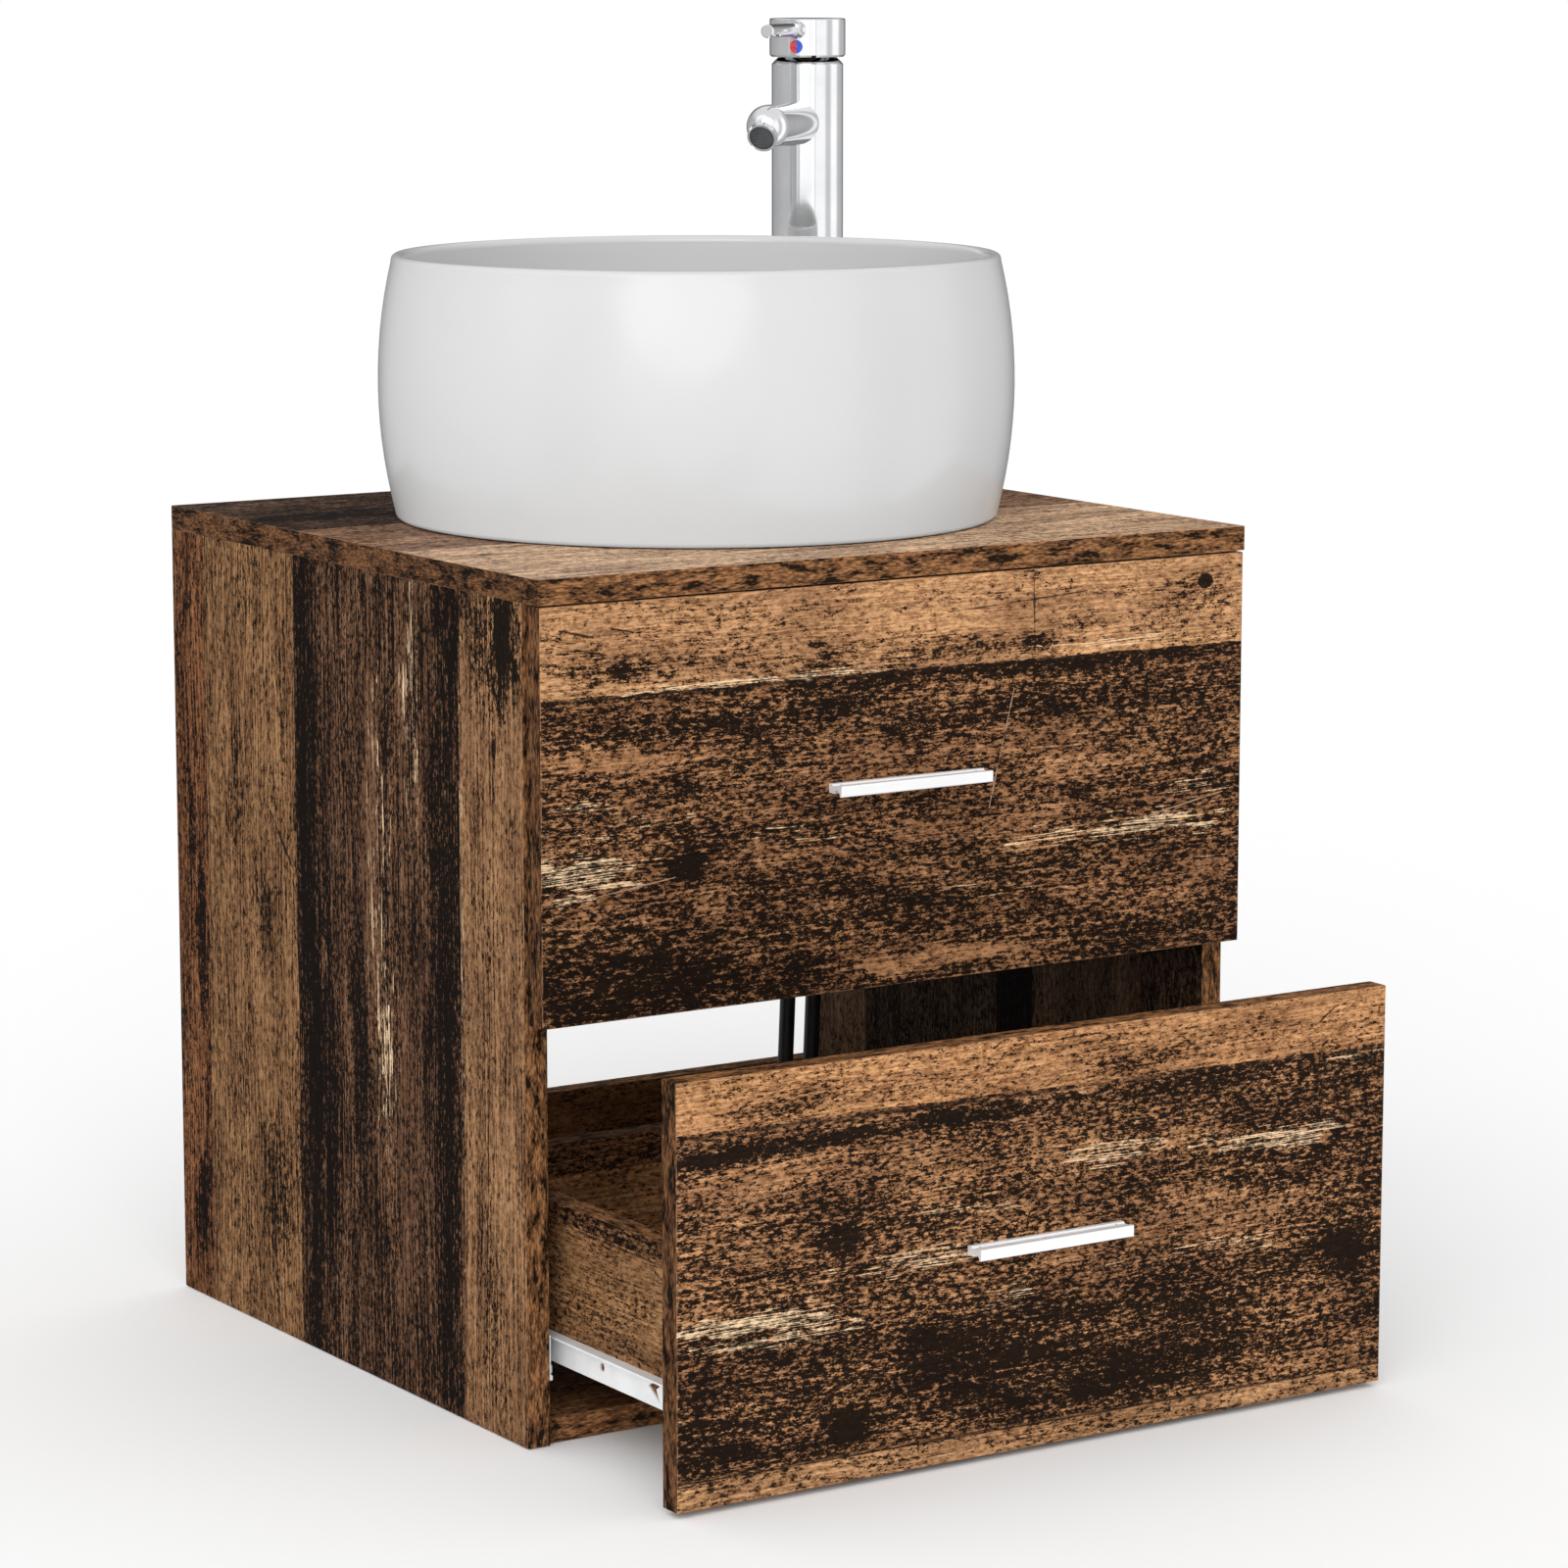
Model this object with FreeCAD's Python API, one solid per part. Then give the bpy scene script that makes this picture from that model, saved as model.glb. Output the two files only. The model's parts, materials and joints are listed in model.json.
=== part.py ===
import FreeCAD
import Part
import math
import os

# A two-drawer bathroom vanity with a round vessel basin and a tall pin-lever tap.
# Millimetres. X runs left to right, -Y is the front, +Z is up.
# The origin is the middle of the cabinet's footprint, on the underside of its bottom panel.

# Cabinet
WIDTH = 500.0
DEPTH = 460.0
HEIGHT = 508.0
BOARD = 15.0
BOARD_EDGE_RADIUS = 0.5
SIDE_FRONT_SETBACK = 18.0
BOTTOM_FRONT_SETBACK = 22.0
LOWER_RAIL_TOP = 98.0
UPPER_RAIL_HEIGHT = 85.0

# Drawers
FRONT_SIDE_GAP = 1.2
LOWER_FRONT_BOTTOM = 3.1
LOWER_FRONT_TOP = 246.4
UPPER_FRONT_BOTTOM = 250.4
UPPER_FRONT_TOP = 492.0
LOWER_DRAWER_PULLED_OUT = 144.0
DRAWER_SIDE_LENGTH = 302.0
DRAWER_SIDE_HEIGHT = 94.2
DRAWER_SIDE_LIFT = 43.1
RUNNER_SPACE = 12.5
DRAWER_BASE_THICKNESS = 4.0
DRAWER_BASE_LIFT = 11.0
GROOVE_DEPTH = 6.0
CUTOUT_WIDTH = 150.0
CUTOUT_DEPTH = 150.0

# Roller runners
SHEET = 1.2
RUNNER_LENGTH = 300.0
RUNNER_WEB_HEIGHT = 17.7
RUNNER_FLANGE = 7.0
ROLLER_RADIUS = 10.0
ROLLER_WIDTH = 5.0
ROLLER_PIN_RADIUS = 2.5
RUNNING_GAP = 0.05

# Handles
HANDLE_LENGTH = 108.0
HANDLE_HOLE_SPACING = 96.0
HANDLE_SCREW_LIFT = 1.4
HANDLE_THREAD = 3.5
HANDLE_BAR_ROUNDING = 0.8

# Basin
BASIN_Y = 2.0
BASIN_HEIGHT = 163.0
BASIN_RADIUS = 197.0
BASIN_RIM_RADIUS = 188.2
BASIN_FOOT_RADIUS = 187.0

# Waste
WASTE_RADIUS = 20.9
WASTE_BORE = 17.4
WASTE_TAIL_BOTTOM = 438.0
WASTE_TAIL_THREAD = 32.0
WASTE_RUN_OUT = 4.0
WASTE_RUN_OUT_DEPTH = 0.9
PLUG_STEM_RADIUS = 4.0

# Tap
TAP_X = 191.5
TAP_Y = 170.0
TAP_TURN = 219.5
TAP_RADIUS = 23.6
TAP_CAP_RADIUS = 25.0
TAP_CAP_BOTTOM = 277.0
TAP_CAP_HEIGHT = 25.0
SPOUT_RADIUS = 14.0
SPOUT_REACH = 85.0
SPOUT_HEIGHT = 234.0
OUTLET_TILT = 27.0
LEVER_RADIUS = 4.4
LEVER_REACH = 87.0
LEVER_LIFT = 18.0
PIVOT_DROP = 24.5

# Supply hoses
HOSE_RADIUS = 5.3
HOSE_OFFSET = 6.6
HOSE_CORNER_SHARE = 0.45

X_AXIS = FreeCAD.Vector(1, 0, 0)
Y_AXIS = FreeCAD.Vector(0, 1, 0)
Z_AXIS = FreeCAD.Vector(0, 0, 1)
FRONT_Y = -DEPTH / 2.0
REAR_Y = DEPTH / 2.0
TOP_Z = HEIGHT
TOP_UNDERSIDE = HEIGHT - BOARD
INNER_X = WIDTH / 2.0 - BOARD
SIDE_FRONT_Y = FRONT_Y + SIDE_FRONT_SETBACK
DRAWER_BOX_FRONT_Y = FRONT_Y + BOARD
DRAWER_OUTER_X = INNER_X - RUNNER_SPACE
DRAWER_INNER_X = DRAWER_OUTER_X - BOARD
UPPER_LIFT = UPPER_FRONT_BOTTOM - LOWER_FRONT_BOTTOM


def vec(x, y, z):
    return FreeCAD.Vector(x, y, z)


def box(x0, x1, y0, y1, z0, z1):
    return Part.makeBox(x1 - x0, y1 - y0, z1 - z0, vec(x0, y0, z0))


def board(x0, x1, y0, y1, z0, z1):
    """A panel with its sharp edges eased."""
    panel = box(x0, x1, y0, y1, z0, z1)
    return panel.makeFillet(BOARD_EDGE_RADIUS, panel.Edges)


def rod(radius, start, axis, length):
    return Part.makeCylinder(radius, length, start, axis)


def ring(outer, inner, start, axis, length):
    return rod(outer, start, axis, length).cut(rod(inner, start, axis, length))


def union(shapes):
    return shapes[0].multiFuse(shapes[1:]).removeSplitter()


def group(shapes):
    """Separate solids kept side by side in one sub-part."""
    return Part.makeCompound(shapes)


def mirror(shape):
    return shape.mirror(vec(0, 0, 0), X_AXIS)


def mirrored_pair(shape):
    return [shape, mirror(shape)]


def moved(shape, x, y, z):
    copy = shape.copy()
    copy.translate(vec(x, y, z))
    return copy


def outline_face(edges):
    return Part.Face(Part.Wire(edges))


def line(a, b):
    return Part.LineSegment(a, b).toShape()


def arc(a, middle, b):
    return Part.Arc(a, middle, b).toShape()


def polygon_prism(points, direction):
    closed = points + [points[0]]
    return Part.Face(Part.makePolygon(closed)).extrude(direction)


def hexagon(across_flats, start, axis, length):
    radius = across_flats / math.sqrt(3.0)
    points = [
        vec(radius * math.cos(math.radians(60 * i)), radius * math.sin(math.radians(60 * i)), 0)
        for i in range(6)
    ]
    prism = polygon_prism(points, vec(0, 0, length))
    prism.Placement = FreeCAD.Placement(start, FreeCAD.Rotation(Z_AXIS, axis))
    return prism


def save(name, shape):
    assert shape.isValid(), name
    shape.exportStep("parts/" + name + ".step")
    print(name, len(shape.Solids), "solids", round(shape.Volume / 1000.0, 2), "cm3")


# Cabinet fasteners: a cam lock in one board draws a bolt that is screwed into the other.
CAM_RADIUS = 7.4
CAM_DEPTH = 12.0
CAM_SETBACK = 24.0
CAM_BOLT_RADIUS = 3.4
CAM_BOLT_GRIP = 10.0
DOWEL_RADIUS = 3.9
DOWEL_LENGTH = 28.0
HOLE_PLAY = 0.1


def cam_set(joint_point, inward, face_direction):
    """Cam and bolt for a joint at joint_point, with the cam let into the board that lies inward."""
    centre = joint_point + inward * CAM_SETBACK
    mouth = centre + face_direction * (BOARD / 2.0)
    cam = rod(CAM_RADIUS, mouth, -face_direction, CAM_DEPTH)
    slot = Part.makeBox(2.0, 9.0, 2.0, vec(-1.0, -4.5, -1.0))
    slot.Placement = FreeCAD.Placement(mouth, FreeCAD.Rotation(Z_AXIS, face_direction))
    cam = cam.cut(slot)
    shank_length = CAM_SETBACK - CAM_RADIUS - 0.3 + CAM_BOLT_GRIP
    bolt = rod(CAM_BOLT_RADIUS, joint_point - inward * CAM_BOLT_GRIP, inward, shank_length)
    pocket = rod(CAM_RADIUS + HOLE_PLAY, mouth, -face_direction, CAM_DEPTH + HOLE_PLAY)
    bore = rod(
        CAM_BOLT_RADIUS + HOLE_PLAY,
        joint_point - inward * (CAM_BOLT_GRIP + HOLE_PLAY),
        inward,
        CAM_SETBACK + CAM_BOLT_GRIP,
    )
    return cam, bolt, [pocket, bore]


def dowel_set(joint_point, inward):
    half = DOWEL_LENGTH / 2.0
    grip = min(half, BOARD - 5.0)
    dowel = rod(DOWEL_RADIUS, joint_point - inward * grip, inward, DOWEL_LENGTH)
    hole = rod(
        DOWEL_RADIUS + HOLE_PLAY,
        joint_point - inward * (grip + 1.0),
        inward,
        DOWEL_LENGTH + 2.0,
    )
    return dowel, hole


def make_fasteners():
    cams = []
    bolts = []
    dowels = []
    cuts = []

    def add_cam(point, inward, face_direction):
        cam, bolt, holes = cam_set(point, inward, face_direction)
        cams.append(cam)
        bolts.append(bolt)
        cuts.extend(holes)

    def add_dowel(point, inward):
        dowel, hole = dowel_set(point, inward)
        dowels.append(dowel)
        cuts.append(hole)

    lower_rail_z = (BOARD + LOWER_RAIL_TOP) / 2.0
    upper_rail_bottom = TOP_UNDERSIDE - UPPER_RAIL_HEIGHT
    rail_y = REAR_Y - BOARD / 2.0
    for side in (-1, 1):
        inward = vec(-side, 0, 0)
        for y in (-150.0, 140.0):
            add_cam(vec(side * INNER_X, y, BOARD / 2.0), inward, Z_AXIS)
            add_dowel(vec(side * INNER_X, y + 40.0, BOARD / 2.0), inward)
        for cam_z, dowel_z in (
            (lower_rail_z, lower_rail_z + 24.0),
            (upper_rail_bottom + 14.0, TOP_UNDERSIDE - 9.0),
        ):
            add_cam(vec(side * INNER_X, rail_y, cam_z), inward, -Y_AXIS)
            add_dowel(vec(side * INNER_X, rail_y, dowel_z), inward)
        for y in (-150.0, 100.0):
            top_joint = vec(side * (INNER_X + BOARD / 2.0), y, TOP_UNDERSIDE)
            add_cam(top_joint, -Z_AXIS, inward)
            add_dowel(vec(side * (INNER_X + BOARD / 2.0), y - 35.0, TOP_UNDERSIDE), -Z_AXIS)
    return cams, bolts, dowels, cuts


def make_cabinet():
    cams, bolts, dowels, cuts = make_fasteners()
    half = WIDTH / 2.0

    top = board(-half, half, FRONT_Y, REAR_Y, TOP_UNDERSIDE, TOP_Z)
    waste_hole = rod(24.0, vec(0, BASIN_Y, TOP_UNDERSIDE - 1.0), Z_AXIS, BOARD + 2.0)
    tap_hole = rod(17.5, vec(TAP_X, TAP_Y, TOP_UNDERSIDE - 1.0), Z_AXIS, BOARD + 2.0)
    top = top.cut([waste_hole, tap_hole] + cuts)
    save("countertop", top)

    for name, side in (("side_left", -1), ("side_right", 1)):
        outer = side * half
        inner = side * INNER_X
        panel = board(min(outer, inner), max(outer, inner), SIDE_FRONT_Y, REAR_Y, 0.0, TOP_UNDERSIDE)
        save(name, panel.cut(cuts + runner_screw_holes(side)))

    bottom_front = FRONT_Y + BOTTOM_FRONT_SETBACK
    bottom = board(-INNER_X, INNER_X, bottom_front, REAR_Y, 0.0, BOARD)
    save("bottom_panel", bottom.cut(cuts))

    rail_front = REAR_Y - BOARD
    lower_rail = board(-INNER_X, INNER_X, rail_front, REAR_Y, BOARD, LOWER_RAIL_TOP)
    save("rear_rail_lower", lower_rail.cut(cuts))
    upper_rail = board(
        -INNER_X, INNER_X, rail_front, REAR_Y, TOP_UNDERSIDE - UPPER_RAIL_HEIGHT, TOP_UNDERSIDE
    )
    hook_slot = box(-INNER_X + 3.0, -INNER_X + 15.0, rail_front - 1.0, REAR_Y + 1.0, 440.0, 476.0)
    upper_rail = upper_rail.cut(cuts + mirrored_pair(hook_slot))
    save("rear_rail_upper", upper_rail)

    save("cabinet_fasteners", group(cams + bolts + bracket_screws() + cabinet_runner_screws()))
    save("wood_dowels", group(dowels))


def make_hanging_brackets():
    """Steel boxes in the upper rear corners, with a hook that passes through the rear rail."""
    x0 = -INNER_X
    case = box(x0, x0 + 18.0, 150.0, 212.0, 418.0, 480.0)
    hollow = box(x0 + 1.5, x0 + 16.5, 148.0, 210.5, 419.5, 478.5)
    tray = case.cut(hollow)
    hook_plate = polygon_prism(
        [
            vec(x0 + 6.0, 160.0, 446.0),
            vec(x0 + 6.0, 227.0, 446.0),
            vec(x0 + 6.0, 227.0, 462.0),
            vec(x0 + 6.0, 223.0, 462.0),
            vec(x0 + 6.0, 223.0, 452.0),
            vec(x0 + 6.0, 216.0, 452.0),
            vec(x0 + 6.0, 216.0, 470.0),
            vec(x0 + 6.0, 160.0, 470.0),
        ],
        vec(4.0, 0, 0),
    )
    rear_window = box(x0 + 5.9, x0 + 10.1, 209.0, 213.0, 445.0, 471.0)
    tray = tray.cut(rear_window)
    bracket = union([tray.cut(hook_plate), hook_plate, box(x0 + 1.5, x0 + 6.0, 175.0, 195.0, 450.0, 466.0)])
    screw_holes = [
        rod(2.2, vec(x0 - 1.0, y, z), X_AXIS, 4.0) for y in (160.0, 202.0) for z in (430.0, 474.0)
    ]
    bracket = bracket.cut(screw_holes)
    save("hanging_brackets", group(mirrored_pair(bracket)))


def bracket_screws():
    screws = []
    for y in (160.0, 202.0):
        for z in (430.0, 474.0):
            screw = pan_screw(vec(-INNER_X + 1.5, y, z), -X_AXIS, 2.0, 1.5)
            screws.extend(mirrored_pair(screw))
    return screws


def pan_screw(seat, direction, radius, length, head_height=2.2):
    """A pan-head screw: the head stands on seat, the shank runs along direction."""
    head = rod(radius * 1.9, seat - direction * head_height, direction, head_height)
    cross = [
        Part.makeBox(0.9, 4.4, 1.6, vec(-0.45, -2.2, -0.8)),
        Part.makeBox(4.4, 0.9, 1.6, vec(-2.2, -0.45, -0.8)),
    ]
    screw = union([head, rod(radius, seat, direction, length)])
    for slot in cross:
        slot.Placement = FreeCAD.Placement(
            seat - direction * head_height, FreeCAD.Rotation(Z_AXIS, direction)
        )
        screw = screw.cut(slot)
    return screw


# Runner section, for the left side of the lower drawer when it is closed.
RUNNER_WEB_BOTTOM = LOWER_FRONT_BOTTOM + DRAWER_SIDE_LIFT - SHEET
RUNNER_FLANGE_TOP = RUNNER_WEB_BOTTOM + RUNNER_WEB_HEIGHT
RUNNER_FRONT_Y = DRAWER_BOX_FRONT_Y
RUNNER_REAR_Y = RUNNER_FRONT_Y + RUNNER_LENGTH
CABINET_RUNNER_FRONT_Y = SIDE_FRONT_Y + 1.0
CABINET_RUNNER_REAR_Y = CABINET_RUNNER_FRONT_Y + RUNNER_LENGTH
FRONT_ROLLER_Y = SIDE_FRONT_Y + 25.0
REAR_ROLLER_Y = RUNNER_REAR_Y - 14.0
FRONT_ROLLER_Z = RUNNER_FLANGE_TOP - SHEET - 0.25 - ROLLER_RADIUS
REAR_ROLLER_Z = FRONT_ROLLER_Z - 1.4
TRACK_TOP = REAR_ROLLER_Z - ROLLER_RADIUS - 0.25
ROLLER_X = -INNER_X + 3.6
CABINET_SCREW_YS = (-150.0, -22.0, 74.0)
CABINET_SCREW_LIFT = 51.5
DRAWER_SCREW_YS = (-190.0, -108.0, 20.0)


def runner_screw_holes(side):
    holes = []
    for lift in (0.0, UPPER_LIFT):
        for y in CABINET_SCREW_YS:
            start = vec(side * (INNER_X - 2.0), y, CABINET_SCREW_LIFT + lift)
            holes.append(rod(2.1, start, vec(side, 0, 0), 13.0))
    return holes


def cabinet_runner():
    """The member screwed to the cabinet: web, track flange with lip, and keeper flange."""
    x0 = -INNER_X
    y0 = CABINET_RUNNER_FRONT_Y
    y1 = CABINET_RUNNER_REAR_Y
    keeper_z = RUNNER_FLANGE_TOP + 1.6
    web = box(x0, x0 + SHEET, y0, y1, TRACK_TOP - SHEET, keeper_z + SHEET)
    track = box(x0, x0 + 10.2, y0 + 14.0, y1, TRACK_TOP - SHEET, TRACK_TOP)
    lip = box(x0 + 10.2 - SHEET, x0 + 10.2, y0 + 14.0, y1, TRACK_TOP - SHEET, TRACK_TOP + 3.2)
    keeper = box(x0, x0 + 8.5, y0 + 40.0, y1, keeper_z, keeper_z + SHEET)
    nose = box(x0, x0 + 2.4, y0, y0 + 8.0, TRACK_TOP - SHEET, TRACK_TOP + 1.6)
    end_stop = box(x0, x0 + 8.0, y1 - SHEET, y1, TRACK_TOP, keeper_z)
    pin = rod(ROLLER_PIN_RADIUS, vec(x0, FRONT_ROLLER_Y, FRONT_ROLLER_Z), X_AXIS, 9.4)
    pin_head = rod(4.0, vec(x0 + 9.0, FRONT_ROLLER_Y, FRONT_ROLLER_Z), X_AXIS, 0.8)
    shape = union([web, track, lip, keeper, nose, end_stop, pin, pin_head])
    holes = [rod(2.1, vec(x0 - 1.0, y, CABINET_SCREW_LIFT), X_AXIS, 4.0) for y in CABINET_SCREW_YS]
    return shape.cut(holes)


def drawer_runner():
    """The member under the drawer side: web, foot flange, running flange and its screw holes."""
    x1 = -DRAWER_OUTER_X
    y0 = RUNNER_FRONT_Y + 1.0
    y1 = RUNNER_REAR_Y
    web = box(x1 - SHEET, x1, y0, y1, RUNNER_WEB_BOTTOM, RUNNER_FLANGE_TOP)
    foot = box(x1 - SHEET, x1 + 11.0, y0, y1, RUNNER_WEB_BOTTOM, RUNNER_WEB_BOTTOM + SHEET)
    flange = box(x1 - RUNNER_FLANGE, x1, y0, y1, RUNNER_FLANGE_TOP - SHEET, RUNNER_FLANGE_TOP)
    pin = rod(ROLLER_PIN_RADIUS, vec(x1, REAR_ROLLER_Y, REAR_ROLLER_Z), -X_AXIS, 9.6)
    pin_head = rod(4.0, vec(x1 - 9.1, REAR_ROLLER_Y, REAR_ROLLER_Z), -X_AXIS, 0.6)
    shape = union([web, foot, flange, pin, pin_head])
    screw_z = RUNNER_WEB_BOTTOM + 9.4
    holes = [rod(2.6, vec(x1 - 4.0, y, screw_z), X_AXIS, 6.0) for y in DRAWER_SCREW_YS]
    tip_y = -159.0
    tip_z = RUNNER_WEB_BOTTOM + 11.0
    latch_window = polygon_prism(
        [
            vec(x1 - 3.0, tip_y, tip_z),
            vec(x1 - 3.0, tip_y - 4.5, tip_z + 2.6),
            vec(x1 - 3.0, tip_y - 13.0, tip_z + 2.6),
            vec(x1 - 3.0, tip_y - 8.5, tip_z - 0.5),
            vec(x1 - 3.0, tip_y - 12.5, tip_z - 8.0),
        ],
        vec(6.0, 0, 0),
    )
    return shape.cut(holes + [latch_window])


def roller(y, z, lift):
    wheel = ring(ROLLER_RADIUS, ROLLER_PIN_RADIUS + RUNNING_GAP, vec(ROLLER_X, y, z), X_AXIS, ROLLER_WIDTH)
    rim_edges = [e for e in wheel.Edges if abs(e.Length - 2 * math.pi * ROLLER_RADIUS) < 0.01]
    wheel = wheel.makeFillet(0.6, rim_edges)
    return moved(wheel, 0, 0, lift)


def make_runners():
    for level, lift, pull in (("lower", 0.0, LOWER_DRAWER_PULLED_OUT), ("upper", UPPER_LIFT, 0.0)):
        cabinet_left = moved(cabinet_runner(), 0, 0, lift)
        save(level + "_cabinet_runners", group(mirrored_pair(cabinet_left)))
        drawer_left = moved(drawer_runner(), 0, -pull, lift)
        save(level + "_drawer_runners", group(mirrored_pair(drawer_left)))
        front_roller = roller(FRONT_ROLLER_Y, FRONT_ROLLER_Z, lift)
        save(level + "_front_rollers", group(mirrored_pair(front_roller)))
        rear_roller = roller(REAR_ROLLER_Y - pull, REAR_ROLLER_Z, lift)
        save(level + "_rear_rollers", group(mirrored_pair(rear_roller)))


def cabinet_runner_screws():
    screws = []
    for lift in (0.0, UPPER_LIFT):
        for y in CABINET_SCREW_YS:
            seat = vec(-INNER_X + SHEET, y, CABINET_SCREW_LIFT + lift)
            screws.extend(mirrored_pair(pan_screw(seat, -X_AXIS, 2.0, 11.0, head_height=1.2)))
    return screws


def handle():
    """One length of pull profile, its back flange against the drawer front, centred on x = 0."""
    y = FRONT_Y
    front_y = y - 13.4
    points = {
        "back_foot": vec(0, y, -1.3),
        "back_top": vec(0, y, 4.1),
        "flange_top": vec(0, y - 3.0, 4.1),
        "groove_back": vec(0, y - 4.0, 3.1),
        "groove_front": vec(0, y - 9.6, 3.1),
        "bar_back_top": vec(0, y - 10.4, 4.1),
        "bar_front_top": vec(0, front_y, 4.1),
        "bar_front_foot": vec(0, front_y, -2.7),
        "bar_back_foot": vec(0, y - 11.3, -2.7),
        "recess_top": vec(0, y - 8.3, 0.9),
        "recess_back": vec(0, y - 5.0, -1.3),
    }
    p = points
    edges = [
        line(p["back_foot"], p["back_top"]),
        line(p["back_top"], p["flange_top"]),
        line(p["flange_top"], p["groove_back"]),
        line(p["groove_back"], p["groove_front"]),
        line(p["groove_front"], p["bar_back_top"]),
        line(p["bar_back_top"], p["bar_front_top"]),
        line(p["bar_front_top"], p["bar_front_foot"]),
        line(p["bar_front_foot"], p["bar_back_foot"]),
        arc(p["bar_back_foot"], p["recess_top"], p["recess_back"]),
        line(p["recess_back"], p["back_foot"]),
    ]
    bar = outline_face(edges).extrude(vec(HANDLE_LENGTH, 0, 0))
    bar = moved(bar, -HANDLE_LENGTH / 2.0, 0, 0)
    front_edges = [
        edge
        for edge in bar.Edges
        if all(abs(vertex.Point.y - front_y) < 0.001 for vertex in edge.Vertexes)
    ]
    bar = bar.makeFillet(HANDLE_BAR_ROUNDING, front_edges)
    for side in (-1, 1):
        start = vec(side * HANDLE_HOLE_SPACING / 2.0, y + 1.0, HANDLE_SCREW_LIFT)
        bar = bar.cut(rod(2.05, start, -Y_AXIS, HANDLE_THREAD + 1.4))
    return bar


def handle_screws():
    seat_y = DRAWER_BOX_FRONT_Y
    return [
        pan_screw(
            vec(side * HANDLE_HOLE_SPACING / 2.0, seat_y, HANDLE_SCREW_LIFT),
            -Y_AXIS,
            2.0,
            BOARD + HANDLE_THREAD,
        )
        for side in (-1, 1)
    ]


def make_drawer(level, lift, pull, front_bottom, front_top):
    """A drawer box with its front and pull. The upper one is cut out around the waste pipe."""
    half_front = WIDTH / 2.0 - FRONT_SIDE_GAP
    box_bottom = front_bottom + DRAWER_SIDE_LIFT
    box_top = box_bottom + DRAWER_SIDE_HEIGHT
    y0 = DRAWER_BOX_FRONT_Y
    y1 = y0 + DRAWER_SIDE_LENGTH
    base_z = box_bottom + DRAWER_BASE_LIFT
    base_x = DRAWER_INNER_X + GROOVE_DEPTH
    base_y0 = y0
    base_y1 = y1 - BOARD + GROOVE_DEPTH
    handle_z = (front_bottom + front_top) / 2.0
    groove = box(
        -base_x - 0.1,
        base_x + 0.1,
        base_y0 - 1.0,
        base_y1 + 0.1,
        base_z - 0.1,
        base_z + DRAWER_BASE_THICKNESS + 0.1,
    )

    cams = []
    bolts = []
    cuts = []
    for side in (-1, 1):
        for z in (box_bottom + 28.0, box_top - 20.0):
            joint = vec(side * (DRAWER_INNER_X + BOARD / 2.0), y0, z)
            cam, bolt, holes = cam_set(joint, Y_AXIS, vec(-side, 0, 0))
            cams.append(cam)
            bolts.append(bolt)
            cuts.extend(holes)

    back_screws = []
    for side in (-1, 1):
        for z in (box_bottom + 26.0, box_top - 20.0):
            start = vec(side * DRAWER_OUTER_X, y1 - BOARD / 2.0, z)
            inward = vec(-side, 0, 0)
            cone = Part.makeCone(4.0, 2.0, 2.5, start, inward)
            screw = union([cone, rod(2.0, start, inward, 40.0)])
            back_screws.append(screw)
            cuts.append(screw)

    def place(name, shape):
        save(level + "_" + name, moved(shape, 0, -pull, 0))

    front = board(-half_front, half_front, FRONT_Y, y0, front_bottom, front_top)
    for side in (-1, 1):
        hole_x = side * HANDLE_HOLE_SPACING / 2.0
        hole_z = handle_z + HANDLE_SCREW_LIFT
        cuts.append(rod(2.2, vec(hole_x, FRONT_Y - 1.0, hole_z), Y_AXIS, BOARD + 2.0))
    place("front", front.cut(cuts))

    side_cuts = cuts + [groove]
    left = board(-DRAWER_OUTER_X, -DRAWER_INNER_X, y0, y1, box_bottom, box_top).cut(side_cuts)
    right = board(DRAWER_INNER_X, DRAWER_OUTER_X, y0, y1, box_bottom, box_top).cut(side_cuts)
    place("side_left", left)
    place("side_right", right)

    back = board(-DRAWER_INNER_X, DRAWER_INNER_X, y1 - BOARD, y1, box_bottom, box_top)
    base = box(-base_x, base_x, base_y0 + 0.3, base_y1, base_z, base_z + DRAWER_BASE_THICKNESS)
    back = back.cut(side_cuts)
    if level == "upper":
        half_cut = CUTOUT_WIDTH / 2.0
        cut_front = y1 - CUTOUT_DEPTH
        notch = box(-half_cut, half_cut, cut_front, y1 + 1.0, box_bottom - 1.0, box_top + 1.0)
        wide_notch = box(
            -half_cut - BOARD,
            half_cut + BOARD,
            cut_front - BOARD,
            y1 + 1.0,
            base_z - 1.0,
            box_top + 1.0,
        )
        wing = back.cut(moved(wide_notch, 0, 0, -DRAWER_BASE_LIFT - 5.0)).cut(wide_notch)
        save("upper_backs", group(wing.Solids))
        base = base.cut(notch)
        wall_bottom = base_z + DRAWER_BASE_THICKNESS
        wall_z = (wall_bottom, box_top)
        cheek = board(half_cut, half_cut + BOARD, cut_front, y1, *wall_z)
        bridge = board(-half_cut - BOARD, half_cut + BOARD, cut_front - BOARD, cut_front, *wall_z)
        save("upper_cutout_walls", group(mirrored_pair(cheek) + [bridge]))
    else:
        place("back", back)
    place("base", base)

    place("handle", moved(handle(), 0, 0, handle_z))
    screws = [moved(screw, 0, 0, handle_z) for screw in handle_screws()]
    screws += back_screws + runner_to_drawer_screws(lift)
    place("fasteners", group(cams + bolts + screws))


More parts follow.
